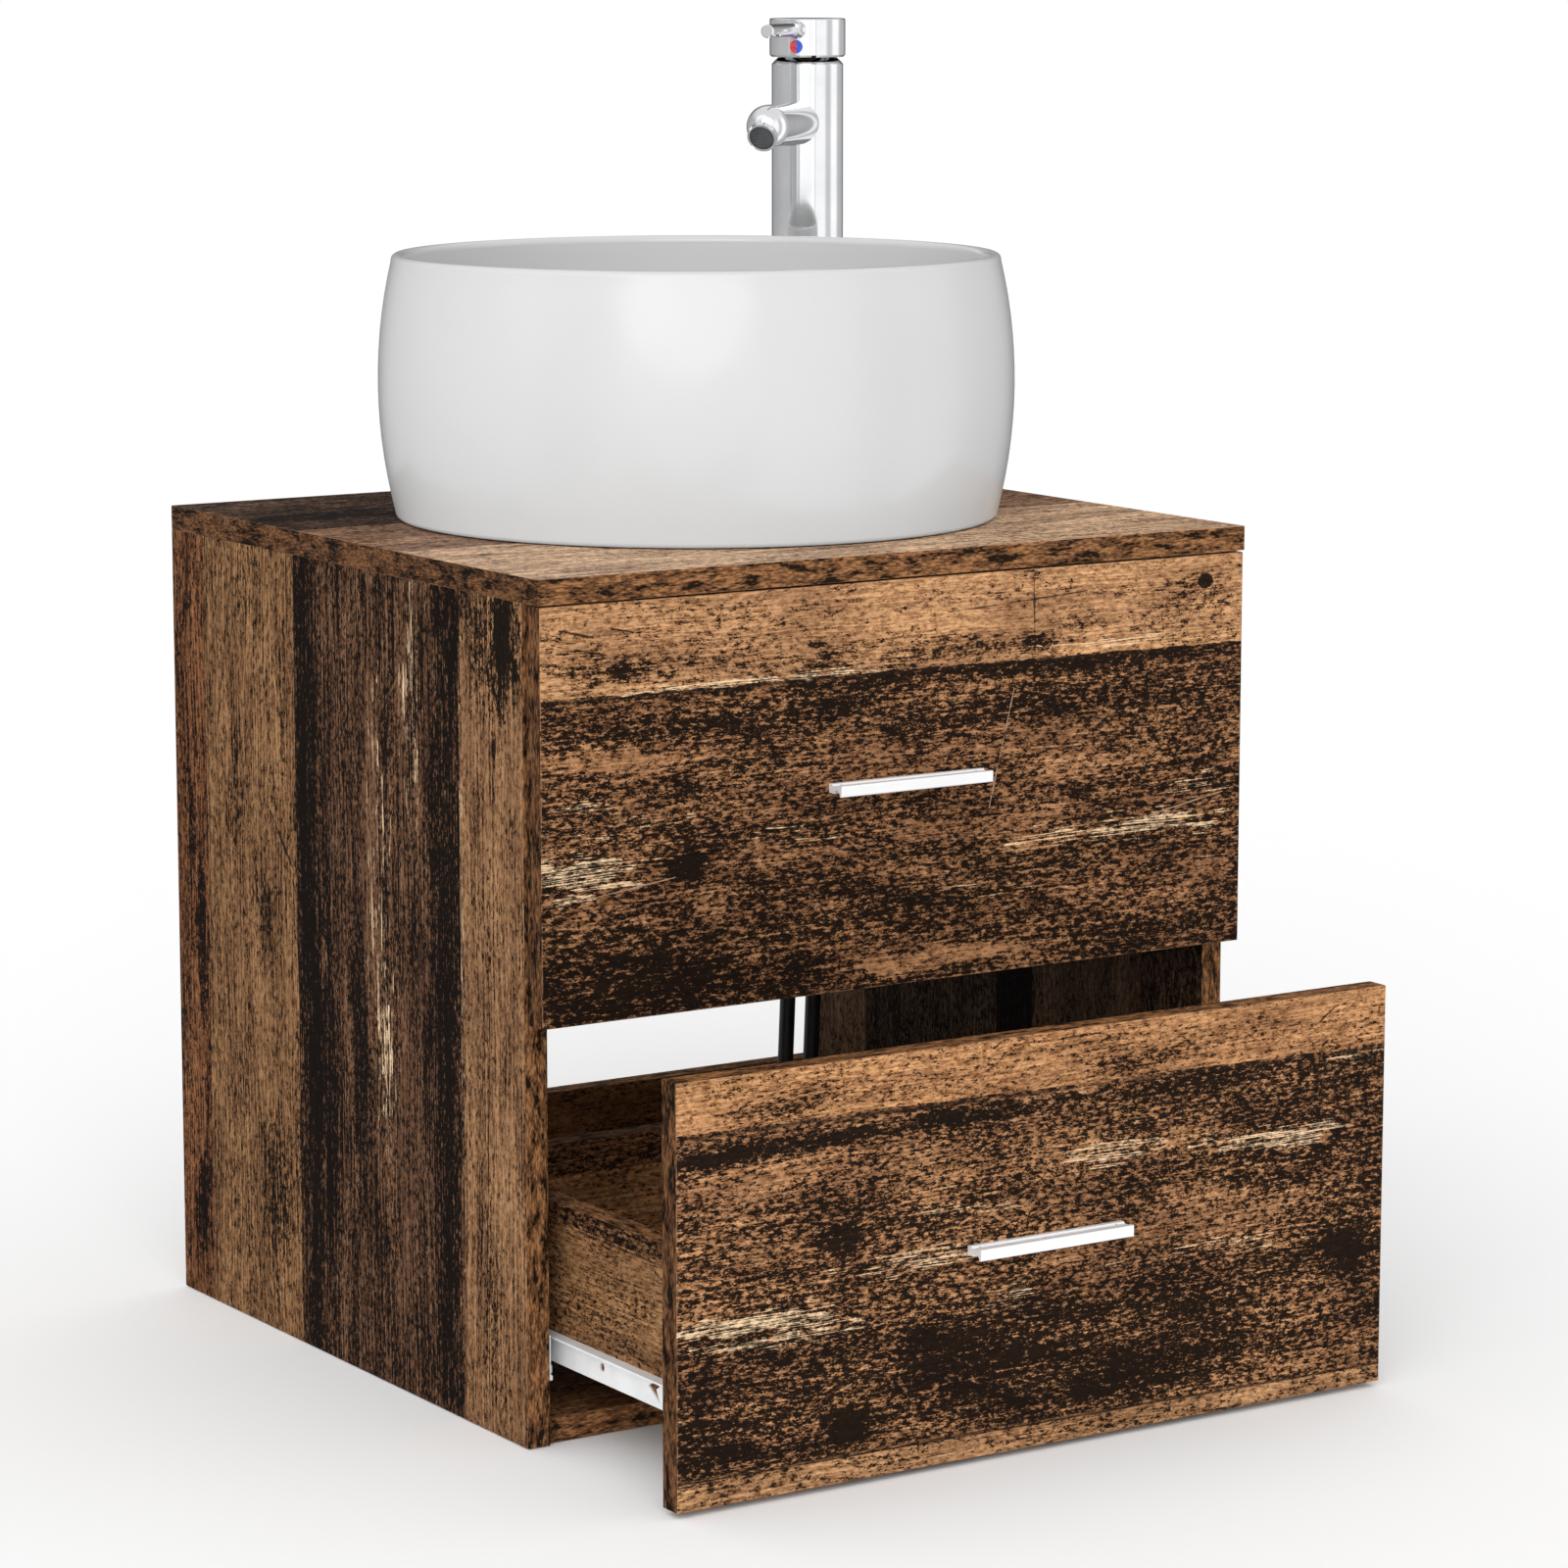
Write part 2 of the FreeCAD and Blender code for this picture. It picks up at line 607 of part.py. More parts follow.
def runner_to_drawer_screws(lift):
    """Short screws that hold the drawer runners to the drawer sides."""
    screw_z = RUNNER_WEB_BOTTOM + 9.4 + lift
    screws = []
    for y in DRAWER_SCREW_YS[:1] + DRAWER_SCREW_YS[2:]:
        seat = vec(-DRAWER_OUTER_X - SHEET, y, screw_z)
        head = Part.makeCone(3.6, 2.4, 1.0, seat - X_AXIS * 1.0, X_AXIS)
        stem = rod(2.4, seat, X_AXIS, SHEET)
        screws.extend(mirrored_pair(union([head, stem])))
    return screws


def revolve_profile(edges, x, y, z):
    solid = outline_face(edges).revolve(vec(0, 0, 0), Z_AXIS, 360)
    return moved(solid, x, y, z)


def profile_edges(points):
    """Edges of a closed outline. A point given as a pair (middle, end) is reached by an arc."""
    edges = []
    start = points[0]
    for item in points[1:] + [points[0]]:
        if isinstance(item, tuple):
            middle, end = item
            edges.append(arc(start, middle, end))
            start = end
        else:
            edges.append(line(start, item))
            start = item
    return edges


def rz(r, z):
    return vec(r, 0, z)


def make_basin():
    h = BASIN_HEIGHT
    foot = BASIN_FOOT_RADIUS
    rim = BASIN_RIM_RADIUS
    outline = [
        rz(164.0, 0.6),
        rz(foot - 3.6, 0.6),
        (rz(foot - 1.0, 1.7), rz(foot, 4.2)),
        (rz(BASIN_RADIUS, h / 2.0), rz(rim, h - 4.2)),
        (rz(rim - 3.8, h), rz(rim - 7.4, h - 4.4)),
        (rz(rim - 3.4, 100.0), rz(rim - 8.2, 54.0)),
        (rz(rim - 18.5, 29.2), rz(rim - 43.2, 19.0)),
        rz(34.6, 17.6),
        rz(33.0, 16.4),
        rz(33.0, 14.0),
        rz(23.5, 14.0),
        rz(23.5, 4.0),
        rz(161.0, 4.0),
    ]
    save("basin", revolve_profile(profile_edges(outline), 0, BASIN_Y, TOP_Z))


def basin_seals():
    """The bead under the foot, and the rubber ring under the waste flange."""
    bead = ring(176.0, 172.0, vec(0, BASIN_Y, TOP_Z), Z_AXIS, 0.6)
    flange_ring = ring(31.6, 21.2, vec(0, BASIN_Y, TOP_Z + 14.0), Z_AXIS, 1.4)
    return group([bead, flange_ring])


def make_waste():
    top = TOP_Z
    centre = vec(0, BASIN_Y, 0)
    save("basin_seals", basin_seals())
    tail_length = top + 15.4 - WASTE_TAIL_BOTTOM
    body = ring(WASTE_RADIUS, WASTE_BORE, centre + Z_AXIS * WASTE_TAIL_BOTTOM, Z_AXIS, tail_length)
    run_out = ring(
        WASTE_RADIUS + 1.0,
        WASTE_RADIUS - WASTE_RUN_OUT_DEPTH,
        centre + Z_AXIS * (WASTE_TAIL_BOTTOM + WASTE_TAIL_THREAD),
        Z_AXIS,
        WASTE_RUN_OUT,
    )
    body = body.cut(run_out)
    flange = ring(32.0, WASTE_BORE, centre + Z_AXIS * (top + 15.4), Z_AXIS, 2.2)

    hub_z = top - 22.0
    hub = rod(7.5, centre + Z_AXIS * hub_z, Z_AXIS, 9.0)
    ribs = []
    for i in range(3):
        rib = Part.makeBox(WASTE_BORE - 5.0, 2.4, 9.0, vec(5.0, -1.2, hub_z))
        rib.rotate(vec(0, 0, 0), Z_AXIS, 120 * i + 30)
        ribs.append(moved(rib, 0, BASIN_Y, 0))
    bore_rod = rod(WASTE_BORE, centre + Z_AXIS * hub_z, Z_AXIS, 9.0)
    spider = union([hub] + ribs).common(bore_rod)
    spider = spider.cut(
        rod(PLUG_STEM_RADIUS + RUNNING_GAP, centre + Z_AXIS * (hub_z - 1), Z_AXIS, 12.0)
    )
    save("waste_body", union([body, flange, spider]))

    washer_z = TOP_UNDERSIDE - 4.0
    save("waste_washer", ring(31.0, 21.1, centre + Z_AXIS * washer_z, Z_AXIS, 4.0))
    nut_z = washer_z - 12.0
    nut = hexagon(52.0, centre + Z_AXIS * nut_z, Z_AXIS, 9.0)
    nut = union([nut, rod(30.0, centre + Z_AXIS * (nut_z + 9.0), Z_AXIS, 3.0)])
    nut = nut.cut(rod(WASTE_RADIUS + 0.1, centre + Z_AXIS * (nut_z - 1.0), Z_AXIS, 14.0))
    save("waste_nut", nut)

    cap_z = top + 18.0
    cap = [
        rz(0, 0),
        rz(30.5, 0),
        (rz(31.6, 0.7), rz(31.2, 2.2)),
        (rz(18.0, 4.6), rz(4.0, 5.4)),
        rz(0, 5.4),
    ]
    plug_cap = revolve_profile(profile_edges(cap), 0, BASIN_Y, cap_z)
    stem_length = 46.0
    stem = rod(PLUG_STEM_RADIUS, centre + Z_AXIS * (cap_z - stem_length), Z_AXIS, stem_length + 1.0)
    collar = rod(11.0, centre + Z_AXIS * (cap_z - 5.0), Z_AXIS, 5.5)
    save("plug", union([plug_cap, stem, collar]))
    save("plug_seal", ring(14.0, 11.0, centre + Z_AXIS * (cap_z - 4.0), Z_AXIS, 2.4))


def place_tap(shape):
    turned = shape.copy()
    turned.rotate(vec(0, 0, 0), Z_AXIS, TAP_TURN)
    return moved(turned, TAP_X, TAP_Y, TOP_Z)


def save_tap(name, shape):
    save(name, place_tap(shape))


def make_tap():
    """The tap is built at its own axis with the spout along +X, then turned to the basin."""
    dome_radius = 30.8
    pivot_z = TAP_CAP_BOTTOM - PIVOT_DROP
    dome = Part.makeSphere(dome_radius, vec(0, 0, pivot_z))
    column = rod(TAP_RADIUS, vec(0, 0, 0.8), Z_AXIS, pivot_z + dome_radius - 0.8)
    cap_top_guard = rod(60.0, vec(0, 0, -1.0), Z_AXIS, pivot_z + 1.0)
    column = column.common(union([dome, cap_top_guard]))

    spout = rod(SPOUT_RADIUS, vec(0, 0, SPOUT_HEIGHT), X_AXIS, SPOUT_REACH)
    ball = Part.makeSphere(SPOUT_RADIUS, vec(SPOUT_REACH, 0, SPOUT_HEIGHT))
    tilt = math.radians(OUTLET_TILT)
    outlet_axis = vec(math.cos(tilt), 0, -math.sin(tilt))
    outlet_centre = vec(SPOUT_REACH, 0, SPOUT_HEIGHT)
    body = union([column, spout, ball])

    cartridge_radius = 17.5
    cartridge_bottom = pivot_z - 32.0
    cartridge_bore = rod(cartridge_radius + 0.1, vec(0, 0, cartridge_bottom), Z_AXIS, 80.0)
    socket = rod(9.05, outlet_centre + outlet_axis * 3.0, outlet_axis, 20.0)
    body = place_tap(body.cut([cartridge_bore, socket]))
    save("tap_body", body.cut([placed_stud(4.1, 0.0, 14.0)] + ferrule_sockets()))

    cartridge = rod(cartridge_radius, vec(0, 0, cartridge_bottom), Z_AXIS, 70.0).common(dome_trim(dome_radius, pivot_z))
    well = Part.makeCone(9.6, 15.4, 46.0, vec(0, 0, pivot_z - 14.0), Z_AXIS)
    save_tap("cartridge", cartridge.cut(well))

    carrier = rod(9.2, vec(0, 0, pivot_z - 13.7), Z_AXIS, 4.0)
    ears = [
        box(-4.5, 4.5, y0, y0 + 2.6, pivot_z - 9.8, pivot_z + 4.0) for y0 in (-6.4, 3.8)
    ]
    pivot_pin = rod(2.0, vec(0, -6.4, pivot_z), Y_AXIS, 12.8)
    save_tap("lever_carrier", union([carrier] + ears + [pivot_pin]))

    cap_outline = [
        rz(0, TAP_CAP_HEIGHT),
        rz(TAP_CAP_RADIUS - 0.6, TAP_CAP_HEIGHT),
        rz(TAP_CAP_RADIUS, TAP_CAP_HEIGHT - 0.6),
        rz(TAP_CAP_RADIUS, 1.3),
        rz(TAP_CAP_RADIUS - 1.3, 0),
        rz(22.4, 0),
        rz(22.4, 11.0),
        rz(17.0, TAP_CAP_HEIGHT - 5.0),
        rz(0, TAP_CAP_HEIGHT - 5.0),
    ]
    cap = revolve_profile(profile_edges(cap_outline), 0, 0, TAP_CAP_BOTTOM)
    lever_z = TAP_CAP_BOTTOM + LEVER_LIFT
    lever_outline = [
        rz(0, TAP_CAP_RADIUS - 4.0),
        rz(6.6, TAP_CAP_RADIUS - 1.2),
        (rz(4.9, TAP_CAP_RADIUS + 3.4), rz(LEVER_RADIUS, TAP_CAP_RADIUS + 9.0)),
        rz(LEVER_RADIUS, LEVER_REACH - 0.8),
        rz(LEVER_RADIUS - 0.8, LEVER_REACH),
        rz(0, LEVER_REACH),
    ]
    lever = revolve_profile(profile_edges(lever_outline), 0, 0, 0)
    lever.rotate(vec(0, 0, 0), Y_AXIS, 90)
    lever = moved(lever, 0, 0, lever_z)
    lever = lever.cut(rod(TAP_CAP_RADIUS, vec(0, 0, TAP_CAP_BOTTOM), Z_AXIS, TAP_CAP_HEIGHT))
    save_tap("lever", lever)

    dot_z = TAP_CAP_BOTTOM + 7.0
    dot = rod(4.4, vec(TAP_CAP_RADIUS - 3.0, 0, dot_z), X_AXIS, 6.0)
    shell = ring(TAP_CAP_RADIUS + 0.15, TAP_CAP_RADIUS - 0.8, vec(0, 0, TAP_CAP_BOTTOM), Z_AXIS, 20.0)
    dot = dot.common(shell)
    red_half = dot.common(box(0, 40, -20, 0, 0, 400))
    blue_half = dot.common(box(0, 40, 0, 20, 0, 400))
    save_tap("lever_cap", cap.cut(dot))
    save_tap("temperature_mark", group([red_half, blue_half]))

    stem = box(-2.6, 2.6, -3.0, 3.0, pivot_z, TAP_CAP_BOTTOM + TAP_CAP_HEIGHT - 5.0)
    eye = rod(4.6, vec(0, -3.0, pivot_z), Y_AXIS, 6.0)
    eye_bore = rod(2.0 + RUNNING_GAP, vec(0, -4.0, pivot_z), Y_AXIS, 8.0)
    save_tap("lever_stem", union([stem, eye]).cut(eye_bore))

    nozzle = ring(9.0, 8.2, outlet_centre + outlet_axis * 3.0, outlet_axis, 8.0)
    collar = ring(9.7, 8.2, outlet_centre + outlet_axis * 11.0, outlet_axis, 4.2)
    nozzle = union([nozzle, collar])
    key_slots = []
    for i in range(4):
        slot = Part.makeBox(3.0, 3.2, 40.0, vec(-1.5, 9.1, 0))
        slot.rotate(vec(0, 0, 0), Z_AXIS, 90 * i + 45)
        slot.Placement = FreeCAD.Placement(
            outlet_centre + outlet_axis * 12.6, FreeCAD.Rotation(Z_AXIS, outlet_axis)
        ).multiply(slot.Placement)
        key_slots.append(slot)
    save_tap("aerator_housing", nozzle.cut(key_slots))
    save_tap("aerator_insert", rod(8.15, outlet_centre + outlet_axis * 4.0, outlet_axis, 10.4))


def dome_trim(radius, pivot_z):
    lower = rod(60.0, vec(0, 0, 0), Z_AXIS, pivot_z)
    return union([Part.makeSphere(radius, vec(0, 0, pivot_z)), lower])


def hose_top(side):
    return vec(TAP_X + side * HOSE_OFFSET, TAP_Y - 4.0, TOP_Z)


def ferrule_sockets():
    return [rod(5.1, hose_top(side), Z_AXIS, 12.0) for side in (-1, 1)]


def placed_stud(radius, bottom, length):
    return rod(radius, vec(TAP_X, TAP_Y + 10.5, TOP_Z + bottom), Z_AXIS, length)


def horseshoe(outer, z0, thickness):
    disc = rod(outer, vec(TAP_X, TAP_Y, z0), Z_AXIS, thickness)
    slot = box(TAP_X - 13.4, TAP_X + 13.4, TAP_Y - 40.0, TAP_Y + 4.0, z0 - 1.0, z0 + thickness + 1.0)
    stud_bore = rod(4.4, vec(TAP_X, TAP_Y + 10.5, z0 - 1.0), Z_AXIS, thickness + 2.0)
    return disc.cut([slot, stud_bore])


def make_tap_fixing():
    save("tap_base_seal", ring(22.6, 17.6, vec(TAP_X, TAP_Y, TOP_Z), Z_AXIS, 0.8))
    save("tap_clamp_seal", horseshoe(21.0, TOP_UNDERSIDE - 2.0, 2.0))
    save("tap_clamp_plate", horseshoe(21.0, TOP_UNDERSIDE - 5.0, 3.0))
    nut_start = vec(TAP_X, TAP_Y + 10.5, TOP_UNDERSIDE - 27.0)
    nut = hexagon(11.0, nut_start, Z_AXIS, 22.0)
    nut = nut.cut(rod(4.05, nut_start - Z_AXIS, Z_AXIS, 24.0))
    save("tap_stud_and_nut", group([placed_stud(4.0, -58.0, 71.0), nut]))


HOSE_ROUTES = {
    "hot": [
        (184.9, 166.0, 484.0),
        (184.9, 166.0, 414.0),
        (182.6, 168.5, 334.0),
        (179.6, 171.0, 254.0),
        (178.2, 171.5, 174.0),
        (174.0, 170.0, 104.0),
    ],
    "cold": [
        (198.1, 166.0, 484.0),
        (198.1, 166.0, 414.0),
        (199.8, 167.0, 334.0),
        (200.6, 170.5, 254.0),
        (199.4, 172.5, 174.0),
        (195.2, 171.0, 104.0),
    ],
}


def hose_path(points):
    """Straight runs joined by tangent arcs, each as large as its two runs allow."""
    edges = []
    start = points[0]
    radii = []
    for before, corner, after in zip(points, points[1:], points[2:]):
        into = (corner - before).normalize()
        out = (after - corner).normalize()
        reach = HOSE_CORNER_SHARE * min((corner - before).Length, (after - corner).Length)
        turn = into.getAngle(out)
        radii.append(reach / math.tan(turn / 2.0))
        arc_start = corner - into * reach
        arc_end = corner + out * reach
        towards_centre = (out - into).normalize()
        centre = corner + towards_centre * (radii[-1] / math.cos(turn / 2.0))
        middle = centre - towards_centre * radii[-1]
        edges.append(line(start, arc_start))
        edges.append(arc(arc_start, middle, arc_end))
        start = arc_end
    edges.append(line(start, points[-1]))
    return Part.Wire(edges), radii


def make_hoses():
    top_ferrules = []
    for name, route in HOSE_ROUTES.items():
        points = [vec(*p) for p in route]
        path, radii = hose_path(points)
        first_direction = points[1] - points[0]
        section = Part.Wire(Part.makeCircle(HOSE_RADIUS, points[0], first_direction))
        tube = path.makePipeShell([section], True, False)
        share = tube.Volume / (math.pi * HOSE_RADIUS**2 * path.Length)
        print(name, "hose length", round(path.Length, 1), "volume share", round(share, 4))
        print(name, "hose radii", [round(r) for r in radii])
        save("hose_" + name, tube)

        top = points[0]
        sleeve = rod(6.3, top, Z_AXIS, 20.0)
        nipple = rod(5.0, top + Z_AXIS * 20.0, Z_AXIS, TOP_Z + 10.0 - top.z - 20.0)
        top_ferrules.append(union([sleeve, nipple]))

        end = points[-1]
        down = (points[-1] - points[-2]).normalize()
        end_sleeve = rod(6.3, end, down, 18.0)
        collar = rod(7.6, end + down * 18.0, down, 2.0)
        save("hose_" + name + "_end_ferrule", union([end_sleeve, collar]))
        nut = hexagon(19.0, end + down * 20.0, down, 13.0)
        nut = nut.cut(rod(7.6, end + down * 23.0, down, 11.0))
        save("hose_" + name + "_nut", nut)
    save("hose_top_ferrules", group(top_ferrules))


def main():
    os.makedirs("parts", exist_ok=True)
    make_cabinet()
    make_hanging_brackets()
    make_runners()
    make_drawer("lower", 0.0, LOWER_DRAWER_PULLED_OUT, LOWER_FRONT_BOTTOM, LOWER_FRONT_TOP)
    make_drawer("upper", UPPER_LIFT, 0.0, UPPER_FRONT_BOTTOM, UPPER_FRONT_TOP)
    make_basin()
    make_waste()
    make_tap()
    make_tap_fixing()
    make_hoses()


main()
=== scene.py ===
import json
import math

import bmesh
import bpy
from mathutils import Euler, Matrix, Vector

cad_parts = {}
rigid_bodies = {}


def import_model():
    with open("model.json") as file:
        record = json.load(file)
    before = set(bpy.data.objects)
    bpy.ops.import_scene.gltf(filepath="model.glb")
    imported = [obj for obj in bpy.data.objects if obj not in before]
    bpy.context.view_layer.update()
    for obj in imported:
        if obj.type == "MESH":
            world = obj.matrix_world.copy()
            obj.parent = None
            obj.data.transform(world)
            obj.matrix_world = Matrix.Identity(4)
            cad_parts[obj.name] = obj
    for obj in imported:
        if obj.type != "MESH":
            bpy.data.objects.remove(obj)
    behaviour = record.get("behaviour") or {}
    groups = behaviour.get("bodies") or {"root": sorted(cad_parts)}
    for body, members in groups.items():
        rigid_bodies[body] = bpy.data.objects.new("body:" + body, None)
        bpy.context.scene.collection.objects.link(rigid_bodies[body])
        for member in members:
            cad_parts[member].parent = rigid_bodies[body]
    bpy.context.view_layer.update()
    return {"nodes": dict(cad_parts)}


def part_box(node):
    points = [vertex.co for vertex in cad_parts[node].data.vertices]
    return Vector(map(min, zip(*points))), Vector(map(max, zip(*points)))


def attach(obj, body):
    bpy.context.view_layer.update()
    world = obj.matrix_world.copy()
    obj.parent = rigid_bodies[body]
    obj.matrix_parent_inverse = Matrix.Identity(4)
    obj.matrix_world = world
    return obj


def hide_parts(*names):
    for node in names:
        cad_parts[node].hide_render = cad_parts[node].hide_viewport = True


# Bathroom vanity with two drawers, a round bowl and a tall pin-lever tap. Metres; +Z up, -Y front.
# Wood print sizes are in millimetres, because its flecks and grain are drawn at that scale.
for leftOver in list(bpy.data.objects):  # an empty studio to start from
    bpy.data.objects.remove(leftOver)
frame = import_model()

nodes = frame["nodes"]
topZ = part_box("countertop")[1].z
bowlY = (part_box("basin")[0].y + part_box("basin")[1].y) / 2
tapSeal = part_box("tap_base_seal")
tapX = (tapSeal[0].x + tapSeal[1].x) / 2
tapY = (tapSeal[0].y + tapSeal[1].y) / 2
axisNumber = {"x": 0, "y": 1, "z": 2}
perMetre = 1000.0  # millimetres
print("frame loaded:", len(nodes), "nodes")


# Small helpers for node trees.
def feed(tree, socket, value):
    if isinstance(value, bpy.types.NodeSocket):
        tree.links.new(value, socket)
    else:
        socket.default_value = value


def add(tree, kind, inputs=None, **settings):
    node = tree.nodes.new(kind)
    for name, value in settings.items():
        setattr(node, name, value)
    for key, value in (inputs or {}).items():
        feed(tree, node.inputs[key], value)
    return node


def calc(tree, operation, a, b=None, c=None, clamp=False):
    inputs = {i: v for i, v in enumerate((a, b, c)) if v is not None}
    return add(tree, "ShaderNodeMath", inputs, operation=operation, use_clamp=clamp).outputs[0]


def vectorCalc(tree, operation, a, b=None):
    inputs = {i: v for i, v in enumerate((a, b)) if v is not None}
    node = add(tree, "ShaderNodeVectorMath", inputs, operation=operation)
    return node.outputs["Value" if operation in ("LENGTH", "DOT_PRODUCT") else "Vector"]


def times(tree, a, b):
    return calc(tree, "MULTIPLY", a, b)


def combine(tree, **parts):  # x, y and z, each 0 if left out
    inputs = {axisNumber[axis]: part for axis, part in parts.items()}
    return add(tree, "ShaderNodeCombineXYZ", inputs).outputs[0]


def split(tree, vector):
    return add(tree, "ShaderNodeSeparateXYZ", {0: vector}).outputs


def mixColor(tree, factor, a, b, blend="MIX"):
    node = add(tree, "ShaderNodeMix", {0: factor, 6: a, 7: b}, data_type="RGBA", blend_type=blend)
    return node.outputs[2]


def remap(tree, value, low, high, toLow=0.0, toHigh=1.0, smooth=True):
    node = add(
        tree, "ShaderNodeMapRange",
        {0: value, 1: low, 2: high, 3: toLow, 4: toHigh},
        interpolation_type="SMOOTHSTEP" if smooth else "LINEAR",
    )
    return node.outputs[0]


def noise(tree, place, stretch, detail=2.0, rough=0.5, shift=0.0):
    moved = add(
        tree, "ShaderNodeVectorMath", {0: place, 1: stretch, 2: (shift, shift * 1.7, shift * 0.6)},
        operation="MULTIPLY_ADD",
    ).outputs[0]  # each shift shows another part of the noise
    return add(tree, "ShaderNodeTexNoise", {
        "Vector": moved, "Scale": 1.0, "Detail": detail, "Roughness": rough,
    }).outputs[0]


def weigh(tree, *pairs):  # the sum of each value times its weight
    total = None
    for value, weight in pairs:
        part = times(tree, value, weight)
        total = part if total is None else calc(tree, "ADD", total, part)
    return total


def newGroup(name, inputs, outputs, kind="ShaderNodeTree"):
    tree = bpy.data.node_groups.new(name, kind)
    for socketName, socketType, value in inputs:
        socket = tree.interface.new_socket(socketName, in_out="INPUT", socket_type="NodeSocket" + socketType)
        if value is not None:
            socket.default_value = value
    for socketName, socketType in outputs:
        tree.interface.new_socket(socketName, in_out="OUTPUT", socket_type="NodeSocket" + socketType)
    return tree, tree.nodes.new("NodeGroupInput"), tree.nodes.new("NodeGroupOutput")


def useGroup(tree, group, inputs):
    node = tree.nodes.new("ShaderNodeGroup")
    node.node_tree = group
    for key, value in inputs.items():
        feed(tree, node.inputs[key], value)
    return node


def newObject(name, data):
    made = bpy.data.objects.new(name, data)
    bpy.context.scene.collection.objects.link(made)
    return made


def newCurve(name, kind, places):
    curve = bpy.data.curves.new(name, "CURVE")
    curve.dimensions = "3D"
    spline = curve.splines.new(kind)
    spline.points.add(len(places) - 1)
    for point, (x, y, z) in zip(spline.points, places):
        point.co = (x, y, z, 1.0)
    return curve, spline


def newMaterial(name):
    material = bpy.data.materials.new(name)
    material.use_nodes = True
    tree = material.node_tree
    return material, tree, tree.nodes["Principled BSDF"]


def millimetres(tree):
    place = tree.nodes.new("ShaderNodeTexCoord")
    return vectorCalc(tree, "MULTIPLY", place.outputs["Object"], (perMetre,) * 3), place


# Shared effects: masks, colours and heights that the materials below put together.
def buildSoftSpot():  # an oval mark with broken edges
    tree, spot, out = newGroup(
        "softSpot",
        [("Place", "Vector", None), ("Centre", "Vector", None), ("Reach", "Vector", (10.0, 10.0, 1.0)),
         ("Break", "Float", 0.5), ("Ragged", "Float", 0.8), ("Feather", "Float", 0.4)],
        [("Mask", "Float")],
    )
    offset = vectorCalc(tree, "SUBTRACT", spot.outputs["Place"], spot.outputs["Centre"])
    offset = vectorCalc(tree, "MULTIPLY", offset, (1.0, 1.0, 0.0))
    away = vectorCalc(tree, "LENGTH", vectorCalc(tree, "DIVIDE", offset, spot.outputs["Reach"]))
    breaking = calc(tree, "SUBTRACT", spot.outputs["Break"], 0.5)
    ragged = times(tree, breaking, spot.outputs["Ragged"])
    away = calc(tree, "ADD", away, ragged)
    low = calc(tree, "SUBTRACT", 1.0, spot.outputs["Feather"])
    mask = remap(tree, away, low, calc(tree, "ADD", 1.0, spot.outputs["Feather"]), 1.0, 0.0)
    feed(tree, out.inputs["Mask"], mask)
    return tree


crackRaggedness = 5.0  # in widths of the line
crackCore = 0.4  # the share of the width that is fully dark


def buildCrackLine():  # a thin split or scratch between two points
    tree, crack, out = newGroup(
        "crackLine",
        [("Place", "Vector", None), ("Start", "Vector", None), ("End", "Vector", None),
         ("Width", "Float", 1.0), ("Break", "Float", 0.5)],
        [("Mask", "Float")],
    )
    flat = vectorCalc(tree, "MULTIPLY", crack.outputs["Place"], (1.0, 1.0, 0.0))
    run = vectorCalc(tree, "SUBTRACT", crack.outputs["End"], crack.outputs["Start"])
    fromStart = vectorCalc(tree, "SUBTRACT", flat, crack.outputs["Start"])
    runSquared = vectorCalc(tree, "DOT_PRODUCT", run, run)
    share = calc(tree, "DIVIDE", vectorCalc(tree, "DOT_PRODUCT", fromStart, run), runSquared, clamp=True)
    scaled = add(tree, "ShaderNodeVectorMath", {0: run, "Scale": share}, operation="SCALE").outputs[0]
    away = vectorCalc(tree, "LENGTH", vectorCalc(tree, "SUBTRACT", fromStart, scaled))
    width = crack.outputs["Width"]
    broken = times(tree, calc(tree, "SUBTRACT", crack.outputs["Break"], 0.5), crackRaggedness)
    away = calc(tree, "ADD", away, times(tree, broken, width))
    mask = remap(tree, away, times(tree, width, crackCore), width, 1.0, 0.0)
    feed(tree, out.inputs["Mask"], mask)
    return tree


# Each layer of grain: its stretch along and across the plank, its detail, its roughness and its shift.
grainLayers = {
    "fleck": (0.19, 0.42, 4.0, 0.76, 11.0), "fine": (0.60, 1.4, 2.0, 0.6, 17.0),
    "mottle": (0.17, 0.40, 3.0, 0.68, 37.0), "hair": (0.035, 1.6, 2.0, 0.6, 29.0),
    "lines": (0.012, 0.85, 3.0, 0.62, 5.0), "patch": (0.017, 0.055, 4.0, 0.62, 23.0),
    "tone": (0.010, 0.040, 3.0, 0.6, 41.0),
}
# How a layer tints the plank: where it starts and ends, its dim tint and its bright one.
grainTints = {
    "lines": (0.30, 0.70, (0.72, 0.70, 0.68, 1.0), (1.22, 1.22, 1.21, 1.0)),
    "mottle": (0.36, 0.60, (0.62, 0.55, 0.49, 1.0), (1.18, 1.18, 1.16, 1.0)),
    "tone": (0.35, 0.65, (0.80, 0.76, 0.74, 1.0), (1.20, 1.19, 1.14, 1.0)),
}
plankLook = {
    "sway": 10.0, "leastDark": 0.565, "mostDark": 0.855, "blackBefore": 0.010, "blackAfter": 0.025,
    "stainReach": 0.11, "leastWorn": 1.00, "mostWorn": 0.70, "wornEdge": 0.035,
    "black": (0.0045, 0.0034, 0.0030, 1.0), "cream": (0.86, 0.63, 0.39, 1.0),
    "stain": (0.48, 0.42, 0.38, 1.0), "blackAmount": 0.96, "blackOnCream": 0.50, "creamAmount": 0.92,
    "stainAmount": 0.75,
}


